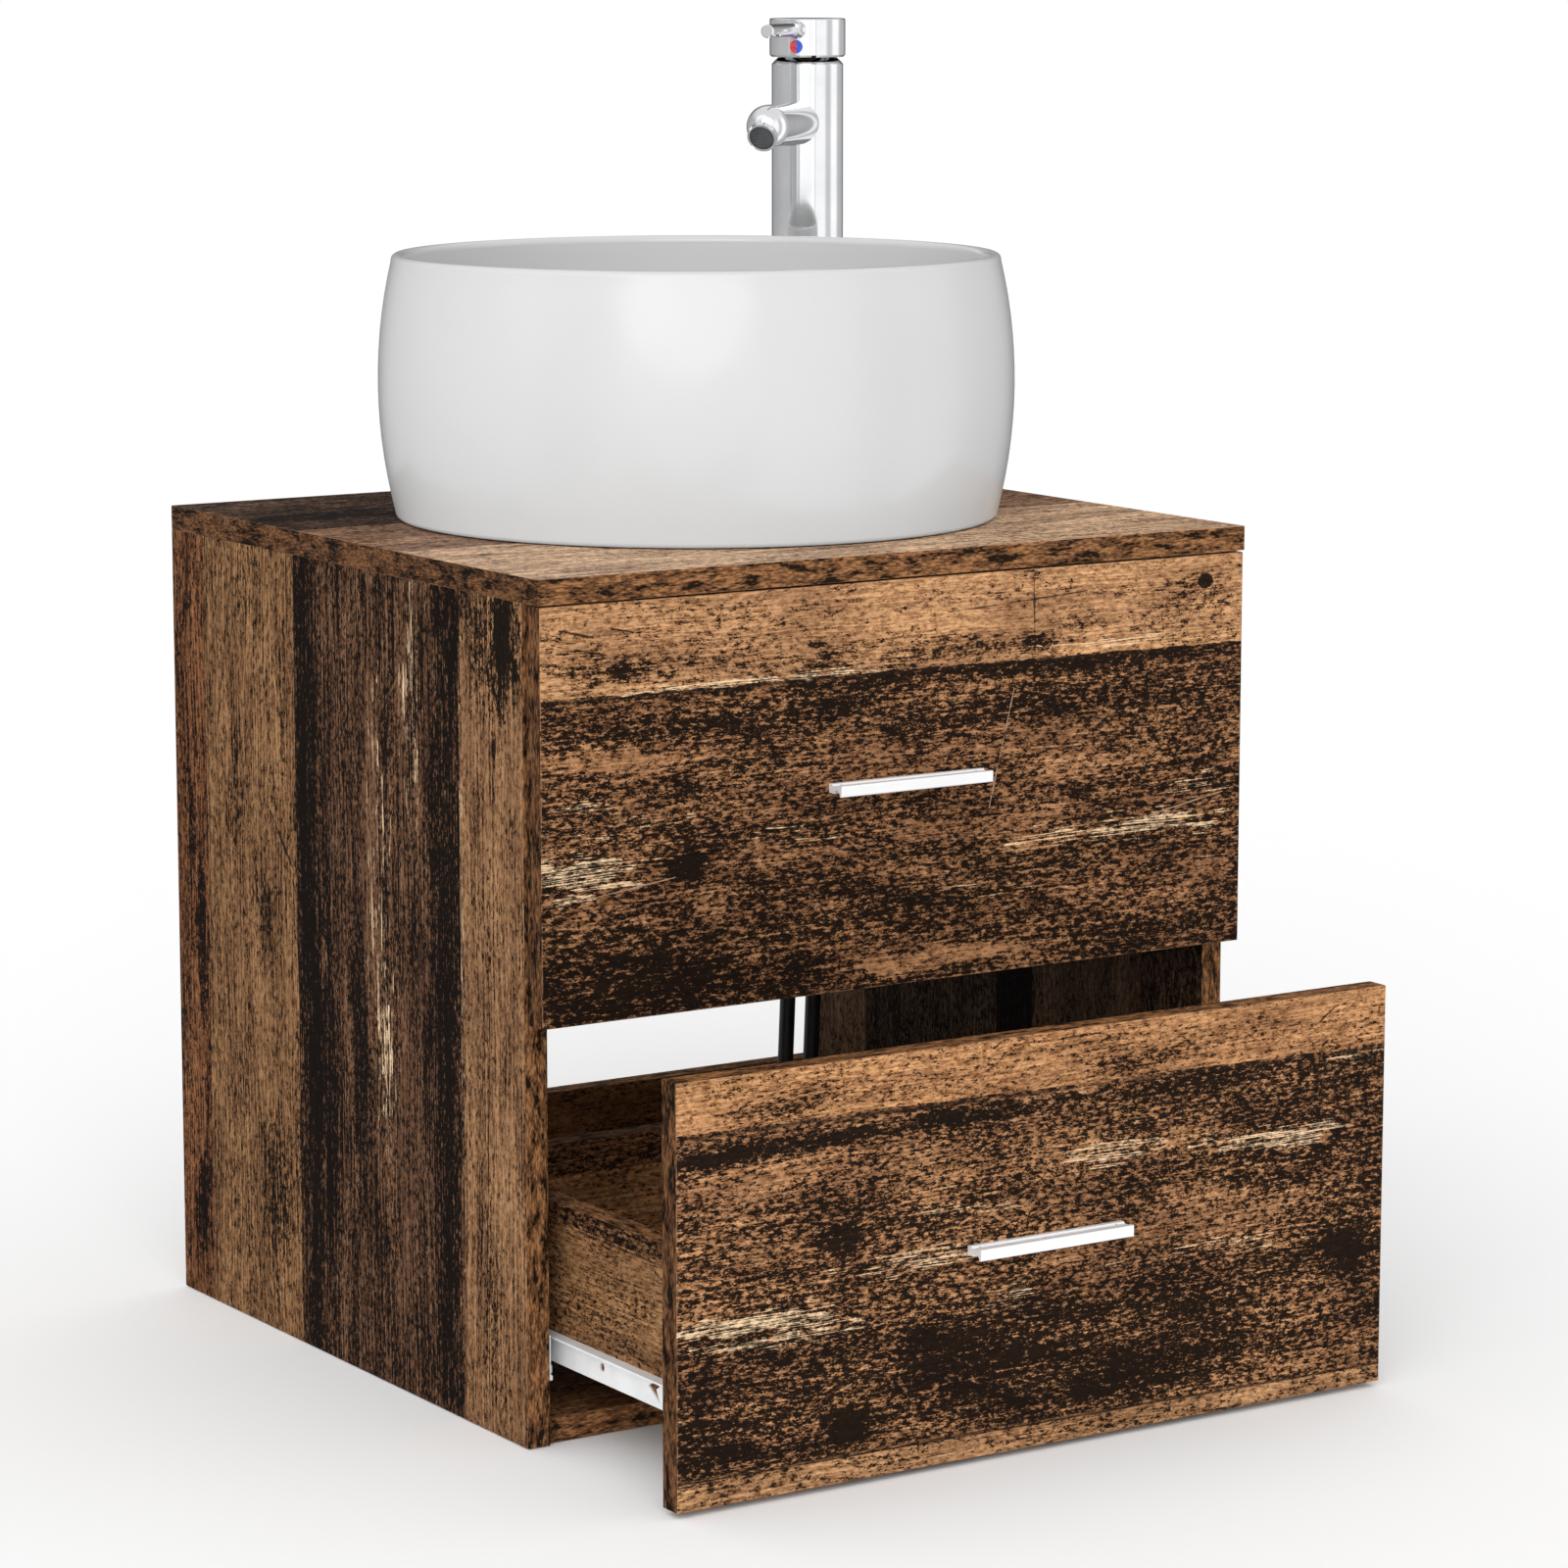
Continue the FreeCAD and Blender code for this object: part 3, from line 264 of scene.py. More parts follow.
def buildAgedPlank(look):  # fleck, grain, stain and worn paint of old planks
    tree, plank, out = newGroup(
        "agedPlank",
        [("Place", "Vector", None), ("Tan", "Color", (0.25, 0.13, 0.06, 1.0)),
         ("Dark", "Float", 0.4), ("Cream", "Float", 0.0), ("Streak", "Float", 0.0)],
        [("Color", "Color"), ("Height", "Float"), ("Roughness", "Float")],
    )
    sway = noise(tree, plank.outputs["Place"], (0.006, 0.012, 1.0), 2.0, shift=3.1)
    swayed = times(tree, calc(tree, "SUBTRACT", sway, 0.5), look["sway"])
    shift = combine(tree, y=swayed)
    place = vectorCalc(tree, "ADD", plank.outputs["Place"], shift)
    layers = {
        name: noise(tree, place, (lengthwise, crosswise, 1.0), detail, rough, shift=start)
        for name, (lengthwise, crosswise, detail, rough, start) in grainLayers.items()
    }
    fleck, lines, hair, patch = (layers[name] for name in ("fleck", "lines", "hair", "patch"))

    streaks = times(tree, calc(tree, "SUBTRACT", lines, 0.5), plank.outputs["Streak"])
    flecks = weigh(tree, (fleck, 0.70), (layers["fine"], 0.26), (hair, 0.12), (lines, 0.12), (patch, 0.22))
    field = calc(tree, "ADD", streaks, flecks)
    level = remap(tree, plank.outputs["Dark"], 0.0, 1.0, look["leastDark"], look["mostDark"], smooth=False)
    blackStart = calc(tree, "SUBTRACT", level, look["blackBefore"])
    black = remap(tree, field, blackStart, calc(tree, "ADD", level, look["blackAfter"]), 1.0, 0.0)
    stain = remap(tree, field, level, calc(tree, "ADD", level, look["stainReach"]), 1.0, 0.0)
    wornField = weigh(tree, (patch, 0.30), (lines, 0.35), (fleck, 0.20), (hair, 0.60))
    cream = plank.outputs["Cream"]
    wornLevel = remap(tree, cream, 0.0, 1.0, look["leastWorn"], look["mostWorn"], smooth=False)
    worn = remap(tree, wornField, wornLevel, calc(tree, "ADD", wornLevel, look["wornEdge"]))

    color = plank.outputs["Tan"]
    for name, (start, end, dim, bright) in grainTints.items():
        tint = mixColor(tree, remap(tree, layers[name], start, end), dim, bright)
        color = mixColor(tree, 1.0, color, tint, "MULTIPLY")
    browned = mixColor(tree, 1.0, color, look["stain"], "MULTIPLY")
    color = mixColor(tree, times(tree, stain, look["stainAmount"]), color, browned)
    color = mixColor(tree, times(tree, worn, look["creamAmount"]), color, look["cream"])
    blackLeft = remap(tree, worn, 0.0, 1.0, look["blackAmount"], look["blackOnCream"], smooth=False)
    color = mixColor(tree, times(tree, black, blackLeft), color, look["black"])
    feed(tree, out.inputs["Color"], color)
    feed(tree, out.inputs["Height"], weigh(tree, (lines, 0.5), (black, -0.35), (worn, 0.25)))
    feed(tree, out.inputs["Roughness"], weigh(tree, (lines, 0.16), (black, 0.08)))
    return tree


edgeLook = {
    "dim": (0.168, 0.072, 0.029, 1.0), "bright": (0.345, 0.163, 0.068, 1.0),
    "stain": (0.080, 0.036, 0.016, 1.0), "black": (0.009, 0.006, 0.004, 1.0),
    "stainFrom": 0.64, "stainTo": 0.78, "blackFrom": 0.585, "blackTo": 0.615,
}


def buildEdgeBand(look):  # the printed strip on a board's narrow faces
    tree, band, out = newGroup(
        "edgeBand", [("Place", "Vector", None), ("Stretch", "Vector", (0.1, 0.1, 0.1))],
        [("Color", "Color")],
    )
    place = vectorCalc(tree, "MULTIPLY", band.outputs["Place"], band.outputs["Stretch"])
    spots = noise(tree, place, (1.0, 1.0, 1.0), 4.0, 0.68, shift=7.0)
    fine = noise(tree, place, (4.0, 4.0, 4.0), 2.0, 0.5, shift=19.0)
    field = calc(tree, "ADD", spots, times(tree, fine, 0.35))
    ground = mixColor(tree, remap(tree, fine, 0.35, 0.65), look["dim"], look["bright"])
    stain = remap(tree, field, look["stainFrom"], look["stainTo"], 0.85, 0.0)
    black = remap(tree, field, look["blackFrom"], look["blackTo"], 0.95, 0.0)
    color = mixColor(tree, black, mixColor(tree, stain, ground, look["stain"]), look["black"])
    feed(tree, out.inputs["Color"], color)
    return tree


def buildEdgeHighlightAndWear():  # a thin painted highlight, partly edge wear, where two faces of a board meet
    tree, border, out = newGroup(
        "edgeHighlightAndWear",
        [("Place", "Vector", None), ("Low", "Vector", None), ("High", "Vector", None),
         ("Width", "Float", 0.7)],
        [("Mask", "Float")],
    )
    fromLow = vectorCalc(tree, "SUBTRACT", border.outputs["Place"], border.outputs["Low"])
    fromHigh = vectorCalc(tree, "SUBTRACT", border.outputs["High"], border.outputs["Place"])
    nearest = vectorCalc(tree, "MINIMUM", fromLow, fromHigh)
    parts = split(tree, nearest)
    least = calc(tree, "MINIMUM", parts[0], calc(tree, "MINIMUM", parts[1], parts[2]))
    width = border.outputs["Width"]
    feed(tree, out.inputs["Mask"], remap(tree, least, times(tree, width, 0.6), width, 1.0, 0.0))
    return tree


def buildSurfaceWear():  # fine tooth and broad smudges for plain finishes
    tree, wear, out = newGroup(
        "surfaceWear",
        [("Place", "Vector", None), ("Tooth", "Vector", (2.0, 2.0, 2.0)), ("Smudge", "Float", 0.03)],
        [("Tooth", "Float"), ("Smudge", "Float")],
    )
    tooth = noise(tree, wear.outputs["Place"], wear.outputs["Tooth"], 3.0, 0.6, shift=2.0)
    feed(tree, out.inputs["Tooth"], tooth)
    smudgeSize = wear.outputs["Smudge"]
    scale = combine(tree, x=smudgeSize, y=smudgeSize, z=smudgeSize)
    smudge = noise(tree, wear.outputs["Place"], scale, 4.0, 0.55, shift=9.0)
    feed(tree, out.inputs["Smudge"], remap(tree, smudge, 0.3, 0.7))
    return tree


softSpot = buildSoftSpot()
crackLine = buildCrackLine()
agedPlank = buildAgedPlank(plankLook)
edgeBand = buildEdgeBand(edgeLook)
edgeHighlightAndWear = buildEdgeHighlightAndWear()
surfaceWear = buildSurfaceWear()
print("shared effects built")


# Old plank print. A plank is (where it starts across the grain, colour, dark share, cream share).
# A mark is (kind, along, across, reach along, reach across, strength).
# A crack or a scratch is (kind, along, across, along, across, width).
printLook = {
    "layerStep": 40.0, "raggedSize": (0.05, 0.05, 1.0), "breakSize": (0.05, 0.14, 1.0), "lastPlank": 400.0,
    "edgeStart": 0.55, "edgeEnd": 0.75, "edgeAcross": 0.23, "edgeAlong": 0.062,
    # The side edge tone paints shade on edge strips that face sideways.
    "sideEdgeShade": (0.55, 0.54, 0.55, 1.0), "rimHighlightWidth": 0.9, "rimHighlightAmount": 0.55, "rimReach": 9000.0,
    # The rim colour paints a thin highlight along board edges, partly edge wear.
    "rim": (0.30, 0.17, 0.095, 1.0), "joint": (0.018, 0.010, 0.007, 1.0), "crack": (0.010, 0.006, 0.005, 1.0),
    "scratch": (0.42, 0.27, 0.17, 1.0), "lineAmount": 0.85, "bump": 0.35, "relief": 0.0004,
    "specular": 0.03, "gloss": 0.50, "seam": 1.3,
}


def plankRamps(tree, planks, factor, low, high):  # one ramp holds the planks' colours, the other their wear
    ramps = [add(tree, "ShaderNodeValToRGB", {0: factor}) for _ in range(2)]
    for ramp in (node.color_ramp for node in ramps):
        ramp.interpolation = "CONSTANT"
        ramp.elements.remove(ramp.elements[1])
        for start, _, _, _ in planks[1:]:
            ramp.elements.new((start - low) / (high - low))
    for i, (_, tan, dark, cream) in enumerate(planks):
        ramps[0].color_ramp.elements[i].color = (*tan, 1.0)
        ownGrain = (i * 0.37) % 1.0
        ramps[1].color_ramp.elements[i].color = (dark, cream, ownGrain, 1.0)
    wear = add(tree, "ShaderNodeSeparateColor", {0: ramps[1].outputs[0]}).outputs
    return ramps[0].outputs[0], wear


def applyMarks(tree, marks, place, breaks, amounts):  # soft marks change the amounts; crisp ones are returned
    painted = []
    for kind, a, b, c, d, strength in marks:
        if kind in ("crack", "scratch"):
            mask = useGroup(tree, crackLine, {
                "Place": place, "Start": (a, b, 0.0), "End": (c, d, 0.0), "Width": strength, "Break": breaks,
            }).outputs[0]
            painted.append((kind, mask, printLook["lineAmount"]))
            continue
        crisp = kind == "hole"
        mask = useGroup(tree, softSpot, {
            "Place": place, "Centre": (a, b, 0.0), "Reach": (c, d, 1.0), "Break": breaks,
            "Ragged": 0.9 if crisp else 3.0, "Feather": 0.12 if crisp else 0.7,
        }).outputs[0]
        if crisp:
            painted.append((kind, mask, strength))
        else:
            target = "cream" if kind == "cream" else "dark"
            amount = -strength if kind == "light" else strength
            amounts[target] = calc(tree, "MULTIPLY_ADD", mask, amount, amounts[target])
    return painted


def decorMaterial(name, panel):
    material, tree, shader = newMaterial(name)
    place, coordinates = millimetres(tree)
    xyz = split(tree, place)
    along, across, through = (xyz[axisNumber[a]] for a in (panel["along"], panel["across"], panel["through"]))
    thin = axisNumber[panel["through"]]
    if panel.get("alsoAlong"):
        along = calc(tree, "ADD", along, xyz[axisNumber[panel["alsoAlong"]]])
    layer = times(tree, through, 0.03)

    jointPlace = combine(tree, x=along, y=times(tree, across, 0.3), z=layer)
    ragged = noise(tree, jointPlace, printLook["raggedSize"], 4.0, 0.65, shift=13.0)
    ragged = times(tree, calc(tree, "SUBTRACT", ragged, 0.5), panel["ragged"])
    swayed = calc(tree, "ADD", across, ragged)
    swayed = calc(tree, "ADD", swayed, times(tree, along, panel.get("slope", 0.0)))
    planks = panel["planks"]
    low, high = planks[0][0] - 1.0, planks[-1][0] + printLook["lastPlank"]
    tan, wear = plankRamps(tree, planks, remap(tree, swayed, low, high, smooth=False), low, high)
    layer = calc(tree, "ADD", layer, times(tree, wear[2], printLook["layerStep"]))
    grainPlace = combine(tree, x=along, y=across, z=layer)
    flatPlace = combine(tree, x=along, y=across)
    breaks = noise(tree, grainPlace, printLook["breakSize"], 4.0, 0.65, shift=31.0)

    amounts = {"dark": wear[0], "cream": wear[1]}
    painted = applyMarks(tree, panel.get("marks", ()), flatPlace, breaks, amounts)
    printed = useGroup(tree, agedPlank, {
        "Place": grainPlace, "Tan": tan, "Dark": amounts["dark"], "Cream": amounts["cream"],
        "Streak": panel.get("streak", 0.0),
    }).outputs
    color, height = printed["Color"], printed["Height"]
    seam = panel.get("seam", printLook["seam"])
    for start, _, _, _ in planks[1:]:  # a dark joint between planks
        gap = calc(tree, "ABSOLUTE", calc(tree, "SUBTRACT", swayed, start))
        joint = remap(tree, gap, seam * 0.2, seam, 0.75, 0.0)
        joint = times(tree, joint, remap(tree, breaks, 0.35, 0.55))
        color = mixColor(tree, joint, color, printLook["joint"])
    for kind, mask, strength in painted:
        shade = printLook["scratch" if kind == "scratch" else "crack"]
        color = mixColor(tree, times(tree, mask, strength), color, shade)
        height = calc(tree, "SUBTRACT", height, mask)

    stretch = tuple(printLook["edgeAcross" if i == thin else "edgeAlong"] for i in range(3))
    band = useGroup(tree, edgeBand, {"Place": place, "Stretch": stretch}).outputs["Color"]
    facing = split(tree, coordinates.outputs["Normal"])

    def faces(axis, toLow=0.0, toHigh=1.0):
        turned = calc(tree, "ABSOLUTE", facing[axis])
        return remap(tree, turned, printLook["edgeStart"], printLook["edgeEnd"], toLow, toHigh)

    edgeFacing = panel.get("edgeFacing")
    onEdge = faces(axisNumber[edgeFacing]) if edgeFacing else faces(thin, 1.0, 0.0)
    # edge strips that face sideways are multiplied darker here as painted shade
    shaded = mixColor(tree, 1.0, band, printLook["sideEdgeShade"], "MULTIPLY")
    color = mixColor(tree, onEdge, color, mixColor(tree, faces(axisNumber["x"]), band, shaded))
    if panel.get("box"):  # a thin painted highlight along the board's outer edges, broken by chips like edge wear
        lowCorner, highCorner = ([value * perMetre for value in corner] for corner in panel["box"])
        lowCorner[thin], highCorner[thin] = -printLook["rimReach"], printLook["rimReach"]
        rim = useGroup(tree, edgeHighlightAndWear, {
            "Place": place, "Low": lowCorner, "High": highCorner, "Width": printLook["rimHighlightWidth"],
        }).outputs[0]
        chips = vectorCalc(tree, "MULTIPLY", place, (0.2, 0.2, 0.2))
        chips = noise(tree, chips, (1.0, 1.0, 1.0), 2.0, shift=4.0)
        bright = times(tree, rim, remap(tree, chips, 0.35, 0.6))
        bright = times(tree, bright, printLook["rimHighlightAmount"])
        bright = times(tree, bright, calc(tree, "SUBTRACT", 1.0, onEdge))
        color = mixColor(tree, bright, color, printLook["rim"])
    if panel.get("bounce"):  # the light this board throws on the bowl stays neutral
        ray = tree.nodes.new("ShaderNodeLightPath").outputs
        color = mixColor(tree, ray["Is Diffuse Ray"], color, (*panel["bounce"], 1.0))

    bump = add(tree, "ShaderNodeBump", {
        "Height": height, "Strength": printLook["bump"], "Distance": printLook["relief"],
    })
    rough = calc(tree, "ADD", printed["Roughness"], panel.get("gloss", printLook["gloss"]))
    feed(tree, shader.inputs["Base Color"], color)
    feed(tree, shader.inputs["Roughness"], rough)
    feed(tree, shader.inputs["Normal"], bump.outputs[0])
    shader.inputs["Specular IOR Level"].default_value = printLook["specular"]
    return material


tanWarm, brownWarm, brownDeep = (0.46, 0.258, 0.135), (0.30, 0.15, 0.072), (0.20, 0.10, 0.05)
sand = (0.66, 0.45, 0.30)

topPrint = {
    "along": "x", "across": "y", "through": "z", "ragged": 4.0, "seam": 1.5, "gloss": 0.36, "streak": 0.32,
    "bounce": (0.72, 0.71, 0.70),
    "planks": [
        (-230, sand, 0.26, 0.10), (-67, (0.36, 0.21, 0.13), 0.36, 0.12),
        (60, (0.20, 0.12, 0.08), 0.56, 0.10),
    ],
    "marks": [
        ("crack", -245, -70, -20, -66, 1.2), ("dark", 60, -20, 60, 10, 0.25),
        ("dark", -200, 120, 60, 22, 0.30), ("light", 200, -60, 60, 12, 0.10),
        ("crack", 150, -150, 240, -128, 0.9), ("hole", -214, -108, 4, 3.4, 0.9),
    ],
}
sidePrint = {
    "along": "z", "across": "y", "through": "x", "ragged": 3.0, "seam": 1.2, "streak": 0.30,
    "planks": [
        (-300, (0.26, 0.145, 0.076), 0.26, 0.12), (-140, (0.145, 0.078, 0.045), 0.50, 0.20),
        (65, (0.235, 0.130, 0.064), 0.30, 0.06), (184, (0.20, 0.090, 0.042), 0.42, 0.0),
    ],
    "marks": [
        ("dark", 476, -176, 38, 44, 0.34), ("dark", 465, -190, 30, 9, 0.6),
        ("hole", 405, -179, 6.0, 2.6, 0.95), ("cream", 310, -38, 120, 15, 0.50),
        ("cream", 424, -81, 70, 12, 0.54), ("cream", 190, -52, 50, 12, 0.36),
        ("light", 310, -30, 130, 10, 0.26), ("light", 420, -70, 90, 8, 0.20),
        ("light", 140, -70, 100, 12, 0.16), ("dark", 250, 50, 270, 13, 0.34),
        ("dark", 260, -122, 270, 14, 0.30), ("dark", 200, -20, 60, 12, 0.26),
        ("dark", 160, 30, 90, 14, 0.20), ("crack", 478, 147, 371, 171, 0.8),
        ("crack", 330, 100, 300, 72, 1.1), ("cream", 300, -140, 190, 2.2, 0.7),
        ("dark", 90, 100, 46, 22, 0.26), ("dark", 70, -170, 60, 10, 0.18), ("dark", 66, 200, 26, 12, 0.40),
        ("dark", 240, 196, 40, 7, 0.34), ("crack", 250, -172, 90, -166, 0.7),
        ("crack", 200, -160, 120, -158, 0.6), ("dark", 330, 150, 34, 8, 0.22),
        ("dark", 260, 110, 30, 9, 0.20),
    ],
}
# Right side: its own dark planks, darkened further as painted shade for the inside of the cabinet.
rightPrintShaded = {
    "along": "z", "across": "y", "through": "x", "ragged": 2.0, "seam": 1.2,
    "planks": [
        (-300, (0.085, 0.05, 0.03), 0.50, 0.0), (-153, (0.10, 0.062, 0.038), 0.30, 0.04),
        (-32, (0.020, 0.013, 0.010), 0.60, 0.0), (6, (0.075, 0.047, 0.030), 0.42, 0.04),
        (160, (0.12, 0.070, 0.040), 0.30, 0.0),
    ],
}
upperPrint = {
    "along": "x", "across": "z", "through": "y", "ragged": 5.0, "slope": 0.004, "seam": 1.6,
    "planks": [(200, (0.355, 0.187, 0.096), 0.51, 0.28), (437, tanWarm, 0.22, 0.20)],
    "marks": [
        ("hole", 220, 476, 5.4, 4.8, 0.97), ("crack", 92, 487, 93, 441, 0.8),
        ("scratch", 78, 421, 60, 350, 0.4), ("scratch", -225, 322, -160, 330, 0.4),
        ("scratch", 150, 330, 235, 345, 0.4), ("dark", -152, 336, 13, 8, 0.34),
        ("dark", -168, 276, 36, 30, 0.16), ("dark", -90, 262, 150, 12, 0.12),
        ("dark", -230, 262, 40, 40, 0.14), ("dark", 120, 412, 90, 16, 0.12),
        ("dark", -130, 418, 90, 12, 0.14), ("dark", 90, 434, 160, 4, 0.18),
        ("dark", 190, 262, 60, 18, 0.10), ("dark", -20, 300, 60, 22, 0.10),
        ("dark", -140, 452, 60, 10, 0.22), ("dark", 40, 450, 90, 9, 0.18), ("dark", -60, 446, 14, 7, 0.35),
        ("dark", -190, 452, 16, 7, 0.20), ("dark", 205, 466, 26, 10, 0.16), ("dark", 90, 448, 16, 6, 0.3),
        ("light", -40, 385, 70, 8, 0.10), ("light", 60, 344, 60, 9, 0.10),
        ("light", -200, 300, 30, 8, 0.10), ("crack", -20, 408, 2, 392, 0.5),
        ("crack", -205, 478, -170, 470, 0.8), ("crack", -236, 478, -214, 473, 0.9),
        ("cream", -222, 338, 36, 13, 0.86), ("cream", 180, 329, 70, 9, 0.62),
        ("cream", -130, 440, 110, 2.5, 0.8), ("cream", -228, 376, 20, 6, 0.55),
        ("cream", -90, 350, 50, 7, 0.40), ("cream", 60, 300, 40, 8, 0.30),
        ("cream", 120, 380, 26, 12, 0.30), ("cream", 222, 352, 26, 7, 0.5),
        ("cream", -190, 364, 40, 5, 0.4), ("light", 20, 264, 60, 6, 0.45),
        ("light", 110, 385, 44, 20, 0.14), ("light", -190, 402, 60, 8, 0.25),
        ("cream", 150, 444, 60, 3, 0.6), ("crack", 30, 470, 130, 476, 0.5),
        ("crack", -240, 470, -205, 462, 0.7), ("dark", -215, 455, 26, 8, 0.20),
    ],
}
lowerPrint = {
    "along": "x", "across": "z", "through": "y", "ragged": 4.0, "slope": 0.012, "seam": 2.0,
    "planks": [
        (-40, (0.42, 0.24, 0.125), 0.33, 0.30), (17, (0.395, 0.212, 0.110), 0.51, 0.32),
        (212, (0.46, 0.245, 0.12), 0.27, 0.25),
    ],
    "marks": [
        ("dark", -140, 143, 15, 9, 0.42), ("dark", -133, 37, 13, 10, 0.42), ("dark", 220, 92, 17, 10, 0.36),
        ("dark", 204, 160, 13, 8, 0.36), ("light", 204, 160, 6, 4, 0.6), ("crack", 196, 228, 214, 240, 0.8),
        ("dark", -20, 205, 250, 4, 0.12), ("dark", 150, 192, 100, 12, 0.05),
        ("dark", -190, 201, 60, 4, 0.22), ("dark", -170, 76, 80, 13, 0.08), ("dark", 170, 84, 90, 18, 0.10),
        ("dark", -40, 60, 60, 20, 0.14), ("dark", 60, 40, 60, 14, 0.16), ("dark", -10, 84, 120, 16, 0.10),
        ("dark", 230, 130, 26, 50, 0.06), ("dark", -232, 50, 22, 40, 0.10), ("dark", 0, 46, 240, 24, 0.10),
        ("crack", -250, 19, 250, 14, 0.5), ("cream", 0, 50, 280, 30, -0.12),
        ("dark", -180, 224, 30, 5, 0.25), ("dark", 60, 222, 40, 5, 0.25), ("cream", -196, 103, 56, 8, 0.72),
        ("cream", -86, 125, 56, 8, 0.55), ("cream", 168, 164, 48, 7, 0.66), ("cream", 50, 170, 40, 8, 0.5),
        ("cream", 120, 104, 60, 5, 0.40), ("cream", -20, 92, 26, 12, 0.40), ("cream", 226, 205, 22, 5, 0.5),
        ("cream", -60, 150, 30, 5, 0.55), ("cream", -180, 92, 60, 4, 0.5), ("light", 90, 125, 60, 12, 0.14),
        ("light", -190, 180, 60, 12, 0.12), ("crack", -34, 80, -36, 20, 0.6),
    ],
}
drawerPrint = {
    "along": "y", "across": "z", "through": "x", "ragged": 1.5,
    "planks": [
        (-50, (0.28, 0.155, 0.076), 0.30, 0.05), (128, (0.19, 0.10, 0.05), 0.50, 0.05),
        (240, (0.28, 0.15, 0.074), 0.32, 0.05), (375, (0.19, 0.10, 0.05), 0.50, 0.05),
    ],
}
crossPrint = {
    "along": "x", "across": "z", "through": "y", "ragged": 3.0,
    "planks": [
        (-50, (0.22, 0.11, 0.054), 0.40, 0.08), (66, (0.27, 0.14, 0.066), 0.24, 0.05),
        (120, (0.18, 0.088, 0.044), 0.44, 0.05), (330, (0.25, 0.125, 0.06), 0.30, 0.05),
        (462, brownDeep, 0.45, 0.05),
    ],
}
floorPrint = {
    "along": "x", "across": "y", "through": "z", "ragged": 3.0,
    "planks": [
        (-300, (0.26, 0.135, 0.065), 0.28, 0.06), (-96, brownDeep, 0.45, 0.10), (70, brownWarm, 0.30, 0.04),
    ],
}
cutoutPrint = {
    "along": "x", "alsoAlong": "y", "across": "z", "through": "y", "edgeFacing": "z", "ragged": 2.0,
    "planks": [(200, (0.20, 0.10, 0.05), 0.42, 0.05), (375, (0.26, 0.13, 0.06), 0.28, 0.05)],
}
decorPanels = [
    ("oldPlanksTop", topPrint, ["countertop"], True),
    ("oldPlanksLeft", sidePrint, ["side_left"], False),
    ("oldPlanksRightShaded", rightPrintShaded, ["side_right"], False),
    ("oldPlanksUpperFront", upperPrint, ["upper_front"], True),
    ("oldPlanksLowerFront", lowerPrint, ["lower_front"], True),
    ("oldPlanksDrawerSides", drawerPrint,
     ["lower_side_left", "lower_side_right", "upper_side_left", "upper_side_right"], False),
    ("oldPlanksCross", crossPrint,
     ["rear_rail_lower", "rear_rail_upper", "lower_back", "upper_backs"], False),
    ("oldPlanksBottom", floorPrint, ["bottom_panel"], False),
    ("oldPlanksCutout", cutoutPrint, ["upper_cutout_walls"], False),
]


def dress(node, material):
    for materialSlot in nodes[node].material_slots:
        materialSlot.material = material


for materialName, panel, members, hasBorder in decorPanels:
    if hasBorder:
        panel["box"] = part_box(members[0])
    decor = decorMaterial(materialName, panel)
    for member in members:
        dress(member, decor)
print("wood prints done")


# Plain finishes: a colour, its worn tone, and how rough, toothed and smudged the surface is.
def plainFinish(name, look):
    material, tree, shader = newMaterial(name)
    place, _ = millimetres(tree)
    wear = useGroup(tree, surfaceWear, {
        "Place": place, "Tooth": look.get("tooth", (2.0, 2.0, 2.0)), "Smudge": look.get("smudge", 0.03),
    }).outputs
    color = mixColor(tree, wear["Smudge"], (*look["color"], 1.0), (*look["worn"], 1.0))
    rough = remap(tree, wear["Smudge"], 0.0, 1.0, *look["rough"], smooth=False)
    feed(tree, shader.inputs["Base Color"], color)
    feed(tree, shader.inputs["Roughness"], rough)
    bump = add(tree, "ShaderNodeBump", {
        "Height": wear["Tooth"], "Strength": look.get("bump", 0.1), "Distance": look.get("relief", 0.00005),
    })
    feed(tree, shader.inputs["Normal"], bump.outputs[0])
    shader.inputs["Metallic"].default_value = look.get("metallic", 0.0)
    return material


